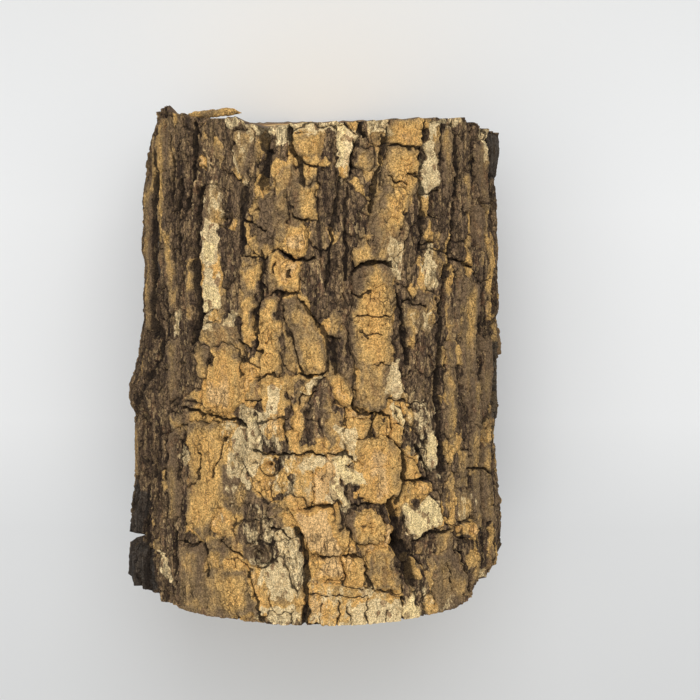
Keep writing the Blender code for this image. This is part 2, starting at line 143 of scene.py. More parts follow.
# Silhouette of the two sides, in pixels of that view from head to foot
LEFT_EDGE = [
    (161, 122), (154, 140), (149, 172), (143, 200), (145, 228), (142, 252), (145, 268),
    (143, 300), (144, 318), (139, 352), (136, 370), (130, 381), (128, 397), (134, 413),
    (134, 455), (134, 480), (130, 500), (131, 531), (140, 535), (140, 537), (129, 543), (131, 582),
]
RIGHT_EDGE = [
    (498, 131), (500, 150), (496, 182), (498, 200), (498, 270), (499, 312), (496, 326),
    (499, 345), (498, 385), (500, 414), (496, 424), (495, 445), (497, 475), (500, 505),
    (503, 540), (499, 558), (491, 571),
]

# Rims of the bark at the two ends, in pixels of that view from left to right
HEAD_RIM = [
    (150, 112), (152, 108), (154, 106.6), (162, 106.6), (165, 108.5), (168, 112), (172, 112),
    (175, 110.8), (179, 112.5), (183, 115), (185, 113), (188, 113.5), (191, 116), (228, 119.5),
    (230, 117.5), (237, 117), (240, 120), (243, 119.5), (247, 121), (248, 124), (253, 123.5),
    (258, 126), (262, 127.5), (275, 126), (285, 125.3), (300, 123), (330, 122), (360, 121),
    (390, 119), (440, 118), (462, 118), (466, 120.5), (470, 122.5), (476, 122), (480, 126),
    (482, 128.5), (486, 128), (488, 131), (492, 132), (495, 131), (498, 135), (500, 141),
]
FOOT_RIM = [
    (131, 590), (139, 592), (150, 590), (152, 600), (178, 603), (195, 614), (230, 617), (262, 622),
    (290, 625), (325, 628), (350, 627), (380, 625), (400, 622), (420, 618), (437, 612),
    (452, 607), (464, 602), (471, 594), (478, 582), (487, 580), (492, 577), (497, 566), (504, 545),
]

# Degrees round from the top at which each rim leaves its drawn line and turns under the log
HEAD_TURN = (98, 135)
FOOT_TURN = (85, 100)

# Sliver at the head rim: half width and depth in millimetres, and its line in pixels
SPLINTER_LINE = [(186, 115), (193, 114.5), (205, 114), (215, 113.2), (224, 111.8), (232, 111.8),
                 (240, 113)]
SPLINTER_HALF = [0.35, 0.75, 0.85, 0.75, 0.9, 0.6, 0.03]
SPLINTER_DEPTH = 0.8
SPLINTER_LEVEL = 0.9
SPLINTER_STEPS = 90
SPLINTER_SIDES = 20

# Tones of the bark plates
BROWN, OLIVE, GOLD, ORANGE, PINK = 0.0, 0.28, 0.55, 0.78, 1.0

# Ground between the plates: share of tan scales and tone, at the sides and then by outline in pixels
SIDE_SHARE = 0.2
SIDE_TONE = 0.08
REGIONS = {
    "left_side": (0.0, -0.02, [(120, 100), (200, 100), (204, 200), (202, 345), (188, 345), (186, 420),
        (140, 420), (120, 380)]),
    "upper_left": (0.02, 0.0, [(196, 114), (246, 118), (238, 168), (222, 192), (196, 190)]),
    "top_middle": (0.55, 0.42, [(262, 122), (332, 122), (324, 185), (312, 245), (302, 300), (262, 302),
        (238, 262), (258, 190)]),
    "column": (0.62, 0.48, [(350, 145), (382, 122), (418, 120), (418, 195), (402, 262), (392, 400),
        (380, 414), (352, 412), (352, 266), (371, 196)]),
    "valley": (-0.05, 0.18, [(324, 183), (350, 188), (352, 300), (340, 312), (322, 305), (302, 296),
        (304, 252), (314, 220)]),
    "notch": (0.4, 0.25, [(270, 196), (292, 196), (291, 222), (283, 238), (272, 236)]),
    "blot_side": (0.15, 0.15, [(262, 148), (283, 148), (274, 170), (273, 188), (262, 190)]),
    "shelf": (0.45, 0.3, [(350, 246), (376, 240), (376, 264), (352, 268)]),
    "mottled_right": (0.36, 0.36, [(418, 120), (440, 120), (440, 195), (430, 205), (430, 290), (420, 310),
        (400, 300), (404, 240)]),
    "right_gap": (0.05, 0.08, [(427, 296), (442, 296), (442, 330), (427, 330)]),
    "middle": (0.72, 0.5, [(240, 285), (330, 300), (350, 320), (350, 410), (320, 375), (262, 378),
        (240, 345)]),
    "low_left": (0.78, 0.6, [(198, 350), (206, 316), (240, 312), (246, 345), (262, 378), (290, 376),
        (290, 460), (252, 480), (240, 540), (205, 545), (190, 530), (188, 425), (198, 400)]),
    "valley_low": (0.25, 0.2, [(332, 308), (344, 300), (350, 314), (350, 370), (331, 372), (326, 346)]),
    "valley_end": (-0.1, 0.1, [(312, 262), (338, 262), (340, 300), (332, 308), (320, 330), (312, 310)]),
    "column_right": (0.12, 0.16, [(404, 205), (420, 205), (420, 290), (396, 290), (392, 262),
        (396, 236)]),
    "low_middle": (0.76, 0.66, [(290, 376), (345, 405), (392, 396), (412, 400), (424, 455), (426, 500),
        (400, 505), (388, 545), (398, 592), (400, 622), (308, 626), (300, 545), (252, 480), (290, 460)]),
    "low_foot": (0.8, 0.45, [(182, 560), (205, 545), (240, 540), (300, 560), (304, 624), (240, 620),
        (190, 606)]),
    "foot_right": (0.55, 0.26, [(412, 545), (440, 530), (500, 520), (498, 560), (466, 602), (430, 612)]),
    "right_side": (0.4, 0.26, [(452, 200), (486, 200), (498, 330), (498, 520), (440, 520), (438, 380)]),
    "left_low": (0.16, 0.0, [(140, 400), (188, 405), (186, 600), (150, 590)]),
    "brown_shelf": (0.3, 0.22, [(262, 434), (290, 434), (290, 453), (262, 453)]),
    "brown_gap": (0.12, 0.16, [(303, 410), (322, 398), (348, 402), (346, 430), (336, 440), (304, 440)]),
    "brown_drop": (0.4, 0.3, [(291, 377), (303, 377), (302, 400), (291, 400)]),
}

# Raised bark plates: height over the mean surface, tone, then the outline in pixels
PLATES = {
    "crown": (2.4, 0.84, [(388, 119), (419, 118), (419, 140), (416, 152), (383, 152), (387, 128)]),
    "under_crown": (2.2, 0.62, [(385, 147), (417, 149), (418, 186), (403, 200), (380, 198), (378, 178)]),
    "under_crown_column": (1.9, 0.62, [(377, 186), (405, 190), (401, 212), (394, 238), (386, 264),
        (370, 264), (370, 215)]),
    "head_stub": (1.0, GOLD, [(345, 121), (360, 121), (359, 136), (345, 136)]),
    "head_square": (1.6, GOLD, [(293, 133), (322, 132), (323, 150), (320, 160), (300, 158), (294, 150)]),
    "head_square_lower": (1.5, 0.45, [(302, 158), (322, 158), (320, 180), (312, 196), (300, 190)]),
    "head_wedge": (1.4, GOLD, [(283, 168), (294, 166), (297, 178), (286, 198), (276, 196), (273, 185)]),
    "left_strip": (1.2, 0.22, [(262, 190), (275, 192), (272, 245), (258, 240)]),
    "middle_square": (1.5, 0.6, [(293, 186), (318, 186), (319, 222), (294, 218)]),
    "golden_knob": (2.0, GOLD, [(288, 223), (300, 221), (310, 236), (302, 258), (295, 260), (280, 242)]),
    "small_right": (1.3, GOLD, [(353, 150), (372, 152), (370, 170), (353, 168)]),
    "golden_boot": (1.8, 0.66, [(267, 252), (279, 250), (288, 262), (300, 262), (300, 292), (270, 297)]),
    "left_tooth": (1.2, GOLD, [(241, 254), (253, 253), (255, 265), (250, 271), (240, 260)]),
    "left_rib": (1.5, 0.66, [(244, 289), (256, 290), (256, 330), (247, 344), (242, 335)]),
    "left_column": (1.5, 0.68, [(263, 295), (281, 295), (281, 376), (263, 379)]),
    "slab_head": (1.6, 0.6, [(206, 322), (226, 318), (242, 330), (244, 356), (229, 346), (216, 354),
        (200, 346)]),
    "golden_leaf": (1.9, 0.5, [(283, 297), (299, 296), (304, 308), (315, 321), (324, 344), (328, 360),
        (326, 367), (306, 373), (298, 359), (289, 326)]),
    "right_wedge": (1.2, 0.3, [(330, 312), (340, 305), (346, 315), (339, 338), (328, 337)]),
    "spine": (2.2, 0.6, [(352, 267), (391, 267), (393, 296), (391, 318), (390, 338), (389, 366),
        (386, 398), (379, 411), (367, 412), (354, 400), (354, 366), (349, 338), (349, 314), (353, 296)]),
    "orange_drop": (2.1, 0.84, [(328, 374), (340, 371), (350, 382), (352, 400), (345, 404), (336, 394)]),
    "right_rib": (1.3, GOLD, [(405, 309), (418, 310), (418, 320), (412, 348), (404, 347)]),
    "great_slab": (2.2, 0.88, [(215, 347), (227, 338), (240, 347), (245, 402), (225, 418), (207, 410)]),
    "slab_side": (1.3, 0.15, [(198, 343), (210, 345), (208, 380), (199, 380)]),
    "slab_wedge": (1.5, GOLD, [(192, 392), (201, 390), (203, 405), (189, 403)]),
    "thigh": (1.9, 0.6, [(192, 424), (247, 426), (236, 470), (224, 505), (205, 540), (190, 520)]),
    "pale_block": (1.6, 0.85, [(263, 375), (291, 374), (289, 414), (267, 418), (263, 404)]),
    "brown_block": (1.2, 0.3, [(249, 377), (262, 376), (262, 398), (250, 397)]),
    "ringed_scale": (1.9, 0.7, [(377, 418), (387, 418), (388, 431), (385, 441), (376, 441), (373, 430)]),
    "right_scale": (1.6, 0.7, [(389, 424), (403, 425), (402, 445), (389, 444)]),
    "left_scale": (1.3, 0.6, [(350, 416), (370, 420), (369, 442), (350, 442)]),
    "broad_scale": (2.0, 0.78, [(352, 440), (370, 437), (387, 438), (401, 450), (398, 496), (380, 506),
        (362, 500), (352, 466)]),
    "low_scale": (1.5, 0.75, [(403, 455), (413, 459), (421, 478), (402, 481)]),
    "white_blob": (2.3, 1.0, [(406, 507), (418, 502), (428, 498), (438, 505), (440, 516), (430, 528),
        (418, 530), (414, 537), (408, 532), (404, 517)]),
    "pink_slab": (2.0, PINK, [(293, 510), (330, 502), (336, 539), (325, 553), (311, 549), (299, 528)]),
    "pink_slab_lower": (1.6, 0.9, [(310, 555), (335, 556), (343, 577), (313, 577)]),
    "broad_slab": (2.2, 0.5, [(350, 512), (376, 509), (386, 530), (383, 544), (354, 544), (344, 522)]),
    "foot_slab": (1.8, 0.6, [(365, 551), (394, 549), (398, 592), (367, 592)]),
    "foot_left": (1.5, 0.18, [(182, 545), (206, 543), (207, 600), (184, 600)]),
    "foot_small": (1.5, 0.4, [(209, 547), (225, 549), (228, 567), (213, 570)]),
    "foot_smooth": (1.3, 0.42, [(183, 602), (207, 569), (250, 568), (261, 615), (230, 616), (196, 612)]),
    "foot_right": (1.6, 0.3, [(431, 551), (450, 549), (466, 582), (460, 604), (432, 610)]),
    "knob": (1.6, 0.75, [(457, 521), (465, 517), (473, 521), (476, 530), (472, 538), (463, 541),
        (456, 534)]),
    "rim_pale": (1.4, 0.76, [(312, 580), (336, 584), (397, 596), (400, 620), (330, 627), (309, 624)]),
    "cream_ribbon": (1.2, PINK, [(203, 230), (209, 220), (221, 224), (223, 240), (223, 305), (204, 312),
        (203, 250)]),
    "grey_cheek": (1.2, 0.4, [(235, 132), (255, 131), (251, 165), (243, 175), (234, 150)]),
    "cream_fork": (1.6, 0.85, [(335, 127), (361, 138), (350, 156), (348, 178), (335, 182)]),
    "column_foot": (1.7, 0.72, [(352, 248), (366, 238), (374, 262), (352, 267)]),
    "left_tooth_low": (1.3, 0.55, [(239, 264), (260, 262), (261, 290), (244, 292)]),
    "grey_strip": (1.3, 0.4, [(424, 120), (438, 120), (438, 178), (427, 190), (418, 192), (421, 160)]),
    "right_ribbon": (1.3, 0.7, [(420, 249), (429, 248), (431, 283), (427, 290), (422, 282)]),
    "cream_spur": (1.7, PINK, [(387, 364), (397, 357), (404, 385), (396, 397), (386, 384)]),
    "right_lens": (1.4, OLIVE, [(473, 206), (484, 207), (482, 246), (474, 244)]),
    "right_band": (1.2, OLIVE, [(461, 272), (479, 285), (479, 350), (468, 420), (459, 380)]),
    "right_outer": (1.5, 0.12, [(483, 335), (493, 336), (490, 400), (481, 423)]),
    "right_low": (1.3, 0.28, [(469, 376), (481, 378), (481, 528), (470, 528)]),
    "dark_block": (1.4, BROWN, [(489, 133), (499, 134), (499, 180), (489, 178)]),
}

# Long fissures: width and depth, then the line in pixels
FISSURES = {
    "far_left": (1.4, 1.4, [(151, 137), (151, 150), (153, 165), (154, 178)]),
    # Cut wide and set outward, so that its black also lies on the gully's outer wall as painted shadow
    "far_left_gully": (9.0, 2.4, [(156, 177), (154.5, 205), (154, 250), (153, 300), (153, 328)]),
    "far_left_low": (5.0, 3.0, [(157, 330), (161, 346), (156, 364), (149, 386), (143, 412)]),
    "left_inner": (2.2, 2.8, [(173, 135), (176, 170), (174, 200)]),
    "left_inner_low": (2.2, 2.8, [(181, 180), (180, 215), (184, 250)]),
    "left_1": (2.6, 3.2, [(195, 122), (196, 140), (192, 178), (188, 208)]),
    "left_2": (3.2, 3.2, [(200, 192), (199, 230), (198, 270), (201, 310), (197, 340)]),
    "head_blot": (3.0, 2.8, [(262, 124), (264, 142), (270, 155), (262, 185)]),
    "head_split": (1.8, 2.2, [(289, 128), (292, 150), (301, 163), (304, 187)]),
    "fibrous": (3.0, 1.8, [(247, 190), (244, 220), (243, 246)]),
    "inner_left": (1.2, 1.8, [(262, 250), (263, 285), (260, 302)]),
    "inner_left_low": (1.5, 2.0, [(259, 302), (259, 318), (256, 345), (263, 350)]),
    "inner_left_2": (0.7, 1.0, [(289, 332), (297, 357), (304, 373)]),
    "leaf_right": (1.0, 1.6, [(303, 302), (315, 318), (323, 333), (330, 350), (330, 365)]),
    "valley": (1.3, 1.6, [(338, 180), (334, 215), (328, 250), (325, 290)]),
    "valley_right": (1.4, 1.4, [(344, 190), (345, 240), (345, 278)]),
    "valley_foot": (1.8, 2.0, [(333, 342), (336, 370)]),
    "crown_left": (1.6, 2.4, [(383, 130), (378, 160), (371, 190), (369, 212)]),
    "crown_right": (2.0, 2.4, [(421, 119), (417, 165), (419, 205), (418, 246)]),
    "spine_right": (1.8, 2.4, [(396, 296), (402, 325), (401, 345), (406, 360)]),
    "right_long": (2.6, 3.0, [(451, 122), (457, 165), (450, 240), (440, 300), (436, 390), (439, 470)]),
    "far_right": (2.2, 2.4, [(480, 303), (477, 325), (476, 357)]),
    "scale_right": (2.4, 2.6, [(400, 448), (402, 475), (398, 500)]),
    "scale_ring": (1.0, 1.8, [(371, 436), (371, 420), (378, 413), (388, 415), (389, 430)]),
    "right_low": (1.2, 1.8, [(416, 446), (428, 480)]),
    "hollow_top": (3.2, 4.0, [(390, 500), (395, 525), (398, 548)]),
    "hollow": (4.4, 5.0, [(395, 540), (406, 560), (408, 582)]),
    "foot_split": (2.4, 3.2, [(297, 530), (304, 552), (307, 580), (305, 624)]),
    "foot_right": (1.8, 2.6, [(457, 545), (462, 568), (469, 590)]),
    "recess_left": (2.6, 2.0, [(147, 480), (149, 540), (150, 585)]),
    "left_low": (2.2, 2.4, [(164, 425), (164, 500)]),
    "left_low_2": (2.0, 2.2, [(178, 530), (179, 582)]),
    "foot_crack": (1.0, 1.6, [(252, 573), (261, 612), (260, 622)]),
}

# Cross cracks: width and depth, then the line in pixels
CRACKS = {
    "rim_step": (0.5, 0.9, [(310, 592), (335, 594), (364, 597)]),
    "great_diagonal": (0.9, 1.8, [(188, 407), (200, 415), (215, 420), (248, 424)]),
    "golden_shelf": (1.0, 1.8, [(280, 248), (294, 262), (313, 260)]),
    "valley_shelf": (1.4, 1.8, [(353, 266), (370, 265), (390, 266)]),
    "boot_foot": (0.5, 1.0, [(273, 295), (302, 294)]),
    "leaf_foot": (0.8, 1.8, [(300, 371), (310, 373), (328, 367)]),
    "crown_foot": (0.8, 1.6, [(386, 149), (400, 148), (416, 151)]),
    "right_step": (1.0, 1.8, [(450, 261), (472, 266), (479, 280)]),
    "foot_right_step": (0.9, 1.6, [(468, 470), (485, 470), (498, 483)]),
    "slab_foot": (0.8, 1.6, [(256, 453), (300, 453), (312, 449), (325, 454)]),
    "low_shelf": (0.8, 1.6, [(330, 502), (305, 505)]),
    "blob_head": (0.9, 1.6, [(403, 483), (428, 479)]),
}

# Knots: radius and height of the raised collar, depth of the eye, then the centre in pixels
KNOTS = {
    "round_knot": (1.65, 1.2, 0.4, (465, 529)),
    "foot_knot": (2.0, 1.2, 1.6, (262, 556)),
    "dark_knot": (1.5, 0.9, 1.6, (272, 465)),
    "bark_hole": (1.1, 0.7, 1.6, (226, 218)),
}

# Flakes: radius of the face, its lift to the foot, then degrees round and distance from the head
FLAKES = {
    "foot_corner": (47.6, 0.6, [(-68, 105), (-78, 103.6), (-92, 104.4), (-104, 105.5), (-104, 114),
        (-92, 114), (-78, 114), (-69, 114)]),
    "left_plate": (46.4, 1.6, [(-77, 91), (-84, 88), (-95, 89.5), (-99, 95), (-92, 101), (-80, 101.5)]),
    "right_flake": (43.3, 0.4, [(76, 56), (86, 53.5), (94, 57), (98, 65), (91, 73), (79, 71)]),
}

# Notch between the two flakes at the left, in pixels, and the column at which it ends
NOTCH = [(112, 528), (131, 532), (137, 533.5), (146, 532.5), (147, 535), (137, 537), (132, 541), (112, 546)]
NOTCH_END = 146

# Small plates: height, tone, then the outline in pixels
SMALL_PLATES = {
    "ring_left": (0.9, 0.6, [(233, 216), (238, 219), (235, 228), (226, 229)]),
    "low_tab": (1.0, 0.2, [(343, 292), (348, 290), (349, 300), (345, 305)]),
    "right_block": (1.0, 0.3, [(416, 292), (429, 292), (429, 305), (416, 304)]),
    "right_slat": (1.1, GOLD, [(422, 215), (429, 214), (429, 240), (422, 239)]),
    "spindle": (1.1, 0.3, [(325, 382), (333, 400), (340, 430), (330, 447), (324, 420)]),
    "side_lens": (1.0, GOLD, [(214, 475), (222, 458), (232, 442), (241, 471), (228, 505), (216, 500)]),
    "tall_knee": (1.2, 0.8, [(303, 455), (319, 450), (325, 456), (316, 471), (300, 463)]),
    "knee_left": (1.1, 0.9, [(340, 430), (352, 430), (356, 442), (351, 453), (342, 441)]),
    "knee_right": (1.3, PINK, [(338, 457), (344, 455), (362, 480), (345, 484), (338, 466)]),
    "knee_foot": (1.2, PINK, [(330, 478), (338, 476), (350, 505), (342, 508), (332, 492)]),
    "blob_step": (1.0, 0.7, [(415, 484), (428, 480), (431, 492), (420, 499), (416, 493)]),
    "rim_white": (1.2, PINK, [(401, 597), (410, 592), (420, 617), (400, 620)]),
    "foot_tall": (1.5, 0.6, [(452, 550), (457, 552), (465, 580), (467, 595), (460, 604), (450, 585)]),
    "olive_foot": (1.3, 0.8, [(339, 556), (362, 557), (364, 590), (345, 588)]),
    "spur_tip": (1.4, PINK, [(393, 401), (403, 410), (404, 433), (395, 411)]),
    "hook": (1.2, PINK, [(411, 408), (419, 407), (419, 416), (413, 424)]),
    "right_flaky": (1.0, 0.85, [(424, 425), (434, 430), (435, 468), (427, 470)]),
    "left_orange": (1.0, ORANGE, [(200, 157), (209, 158), (208, 168), (200, 167)]),
    "low_orange": (1.1, 0.3, [(165, 481), (177, 480), (178, 494), (166, 495)]),
    "leaf_side": (1.2, 0.45, [(283, 320), (290, 324), (297, 358), (292, 370), (284, 368)]),
    "outer_ridge": (1.3, 0.3, [(151, 140), (155, 138), (153, 176), (151, 205), (150, 250), (150, 330),
        (143, 330), (142, 250), (142, 200), (147, 172)]),
    "inner_ridge": (1.5, 0.48, [(154, 120), (163, 120), (167, 160), (166, 185), (165, 215), (166, 240),
        (161, 242), (159, 210), (158, 182), (153, 150)]),
    "right_head_slat": (1.2, 0.35, [(474, 140), (486, 142), (487, 200), (476, 200)]),
    "right_inner_slat": (1.1, 0.3, [(456, 452), (468, 452), (468, 490), (456, 488)]),
    "left_bulge": (1.0, 0.3, [(130, 385), (139, 383), (141, 412), (131, 412)]),
    "rim_right_low": (1.2, 0.5, [(420, 596), (450, 590), (456, 604), (426, 614)]),
    "ribbon_head": (1.0, 0.25, [(206, 186), (222, 188), (227, 226), (204, 226)]),
    "spur_side": (1.0, GOLD, [(400, 398), (412, 404), (414, 424), (405, 424)]),
    "left_knee": (1.0, 0.4, [(172, 412), (187, 412), (187, 444), (174, 442)]),
    "knob_head": (0.9, 0.5, [(455, 486), (474, 490), (474, 516), (458, 518)]),
    "upper_left_slat": (1.2, 0.1, [(166, 118), (176, 116), (178, 165), (168, 180)]),
    "left_tan_slat": (1.4, 0.45, [(188, 258), (196, 260), (196, 322), (189, 318)]),
    "left_mid_slat": (1.3, 0.35, [(166, 230), (176, 228), (180, 300), (170, 318)]),
    "left_low_slat": (1.3, 0.12, [(168, 338), (180, 336), (182, 396), (172, 404)]),
    "left_foot_slat": (1.2, 0.12, [(170, 430), (181, 428), (183, 520), (172, 524)]),
    "edge_slat": (1.1, 0.4, [(135, 422), (143, 424), (142, 476), (136, 474)]),
    "right_tall_slat": (1.3, OLIVE, [(461, 168), (470, 170), (468, 214), (460, 215)]),
    "right_thin_slat": (1.2, 0.25, [(455, 268), (460, 268), (459, 328), (453, 330)]),
    "right_mid_slat": (1.2, OLIVE, [(444, 340), (452, 338), (456, 400), (450, 460), (443, 430)]),
    "right_foot_slat": (1.2, 0.25, [(484, 440), (492, 442), (494, 520), (485, 520)]),
    "head_right_slat": (1.1, 0.3, [(441, 122), (449, 122), (452, 160), (446, 205), (441, 180)]),
}

# Pale patches where the outer bark has weathered off, in pixels
PALE = {
    "ribbon_top": [(203, 230), (209, 221), (221, 224), (223, 244), (219, 266), (207, 268), (203, 244)],
    "ribbon_foot": [(207, 270), (218, 268), (223, 300), (214, 312), (204, 311)],
    "rim_top_right": [(426, 116), (457, 116), (457, 124), (428, 126)],
    "rim_long": [(346, 606), (380, 599), (399, 597), (399, 622), (340, 629)],
    "mottle": [(272, 127), (287, 126), (289, 146), (276, 148)],
    "rim_left": [(258, 120), (335, 118), (335, 128), (300, 129), (268, 132)],
    "rim_far_left": [(228, 116), (262, 121), (262, 130), (232, 127)],
    "corner_slat": [(480, 122), (488, 126), (488.5, 160), (484, 162), (482, 145)],
    "rim_right": [(366, 121), (386, 120), (386, 133), (368, 136)],
    "fork": [(334, 128), (345, 130), (362, 137), (352, 150), (349, 160), (345, 168), (334, 170),
        (338, 140)],
    "grey_top": [(425, 120), (437, 120), (431, 146), (424, 147)],
    "grey_low": [(427, 152), (437, 165), (438, 178), (427, 190), (418, 193), (419, 170), (422, 160)],
    "ribbon_right": [(422, 246), (430, 245), (433, 260), (434, 285), (430, 290), (425, 288), (421, 262)],
    "valley_edge": [(390, 239), (400, 241), (396, 275), (389, 273)],
    "spur": [(388, 364), (397, 357), (401, 375), (404, 385), (395, 397), (387, 385)],
    "lens": [(182, 305), (178, 330), (175, 335), (174, 314)],
    "small": [(227, 309), (235, 311), (234, 321), (227, 320)],
    "triangle": [(322, 372), (313, 392), (306, 392), (315, 377)],
    "tall_knee": [(303, 455), (319, 450), (325, 456), (316, 471), (300, 463)],
    "knee_left": [(338, 428), (353, 428), (358, 442), (352, 455), (340, 442)],
    "knee_right": [(336, 455), (346, 453), (364, 480), (345, 486), (336, 468)],
    "knee_foot": [(328, 476), (339, 474), (352, 506), (342, 510), (330, 493)],
    "cream_field": [(268, 534), (294, 528), (301, 562), (302, 583), (282, 586), (277, 566), (276, 546)],
    "streak": [(393, 402), (402, 410), (404, 435), (395, 410)],
    "hook": [(412, 408), (419, 407), (417, 417), (413, 424)],
    "flaky": [(424, 425), (434, 430), (435, 468), (427, 470)],
    "shin": [(246, 405), (266, 410), (264, 472), (248, 485), (234, 472), (237, 440)],
    "rim_white": [(401, 597), (410, 592), (420, 617), (400, 620)],
    "rim_left_low": [(264, 606), (292, 606), (292, 622), (264, 620)],
    "foot_grey": [(266, 566), (285, 566), (288, 596), (270, 596)],
    "foot_lens": [(163, 545), (170, 560), (174, 585), (167, 570)],
    "edge_left": [(181, 443), (190, 444), (190, 461), (182, 462)],
    "edge_right": [(478, 568), (491, 568), (490, 577), (480, 580)],
    "grey_drop": [(206, 318), (214, 318), (213, 326), (206, 325)],
    "grey_tab": [(421, 312), (427, 312), (427, 328), (421, 327)],
    "pale_block": [(268, 383), (284, 383), (280, 412), (270, 412)],
}

# Freshly bared pale spots, in pixels
BRIGHT = {
    "blob": [(407, 508), (418, 502), (428, 498), (436, 504), (438, 514), (428, 526), (418, 528),
        (414, 536), (409, 531), (405, 517)],
    "rim_low": [(401, 598), (410, 593), (418, 616), (402, 619)],
    "knee_right": [(337, 456), (345, 454), (362, 480), (346, 484), (337, 468)],
    "knee_foot": [(332, 479), (338, 477), (349, 503), (343, 506), (334, 492)],
    "ribbon": [(206, 286), (219, 284), (222, 306), (208, 310)],
    "ribbon_middle": [(206, 240), (218, 240), (216, 262), (207, 262)],
    "spur": [(393, 401), (402, 409), (404, 432), (395, 411)],
    "shin": [(249, 412), (261, 414), (259, 424), (250, 424)],
    "fork": [(335, 128), (346, 130), (344, 150), (341, 168), (334, 170)],
    "lamella": [(427, 430), (434, 434), (434, 460), (429, 458)],
}

# Thinner weathered fields, in pixels
FAINT_PALE = {
    "ribbon_head": [(208, 178), (216, 176), (225, 198), (226, 220), (206, 222), (205, 198)],
    "cheek": [(237, 134), (254, 132), (252, 190), (240, 192), (235, 150)],
    "knob_head": [(455, 486), (474, 490), (474, 516), (458, 518)],
    "shin_foot": [(258, 405), (288, 410), (290, 450), (260, 452)],
    "knee_field": [(262, 450), (312, 448), (316, 480), (345, 484), (345, 498), (300, 498), (262, 486)],
    "rim_low": [(314, 579), (328, 580), (335, 605), (330, 627), (312, 626), (310, 600)],
    "rim_right_low": [(422, 600), (452, 592), (454, 604), (426, 614)],
    "foot_field": [(256, 505), (270, 510), (300, 560), (302, 592), (262, 600), (250, 560), (244, 530)],
    "thigh_edge": [(228, 425), (250, 425), (244, 480), (226, 520)],
    "mottled_right": [(404, 316), (430, 318), (430, 334), (404, 336)],
    "column_head": [(335, 150), (351, 150), (352, 182), (336, 184)],
    "right_spur": [(398, 380), (436, 400), (438, 480), (420, 470), (404, 440)],
    "head_rim": [(232, 120), (335, 120), (335, 134), (268, 142), (236, 140)],
    "head_rim_right": [(425, 116), (458, 116), (458, 128), (426, 130)],
    "rim_tan": [(400, 584), (432, 582), (434, 606), (404, 618)],
    "foot_rim": [(305, 575), (400, 590), (432, 600), (430, 616), (305, 628)],
    "left_flecks": [(200, 310), (240, 306), (238, 322), (200, 326)],
    "foot_rim_left": [(250, 604), (300, 604), (300, 624), (256, 622)],
}

# Tints inside the plates: shift of tone, then the outline in pixels
TINTS = {
    "spine_olive": (-0.32, [(379, 266), (392, 266), (393, 310), (384, 318), (378, 300)]),
    "spine_red": (-0.3, [(353, 268), (372, 268), (368, 288), (355, 290)]),
    "column_olive": (-0.12, [(376, 180), (388, 186), (384, 240), (370, 244)]),
    "under_crown_olive": (-0.2, [(384, 170), (398, 172), (392, 200), (378, 198)]),
    "slab_streak": (-0.25, [(237, 350), (244, 360), (244, 402), (238, 400)]),
    "drop_olive": (-0.3, [(345, 300), (352, 330), (354, 400), (346, 404), (340, 350)]),
    "thigh_olive": (-0.12, [(224, 440), (240, 445), (236, 480), (226, 505)]),
    "broad_red": (0.25, [(368, 455), (384, 452), (392, 490), (380, 496)]),
    "middle_olive": (-0.45, [(228, 470), (248, 470), (256, 500), (292, 498), (292, 514), (250, 514),
        (228, 508)]),
    "low_olive": (-0.35, [(330, 505), (352, 505), (354, 545), (340, 552), (332, 530)]),
    "foot_knot": (-0.7, [(250, 550), (256, 546), (268, 547), (275, 552), (274, 562), (264, 567),
        (253, 564)]),
    "spine_bright": (0.12, [(352, 290), (376, 290), (376, 346), (356, 346)]),
    "spine_foot": (-0.2, [(354, 362), (388, 362), (386, 400), (378, 411), (366, 412), (354, 400)]),
    "left_strip_olive": (-0.25, [(256, 198), (280, 198), (280, 245), (254, 245)]),
    "left_golden": (0.25, [(268, 252), (300, 262), (298, 288), (278, 290)]),
    "knob_gold": (0.25, [(288, 226), (304, 228), (302, 252), (286, 246)]),
    "pink_light": (0.3, [(296, 508), (330, 506), (330, 540), (312, 545)]),
}

# Nearly black slate-coloured bark, with painted shadow on the far left gully's outer wall and on the right
# flake, in pixels
SLATE_AND_SHADOW = {
    # Painted shadow: the outer wall of the far left gully, laid nearly black
    "gully_shadow": [(154, 178), (160, 180), (161, 215), (161, 250), (158, 300), (156, 330), (152, 330),
        (153, 250), (153, 205)],
    "head_block": [(487, 130), (500, 131), (501, 182), (489, 181)],
    # Black bark on the right side, partly painted shade
    "right_flake": [(493, 339), (500, 341), (502, 417), (490, 419)],
    "foot_corner": [(120, 536), (145, 535), (151, 541), (155, 590), (120, 600)],
    "left_plate": [(120, 482), (142, 483), (147, 500), (147, 533), (120, 534)],
}

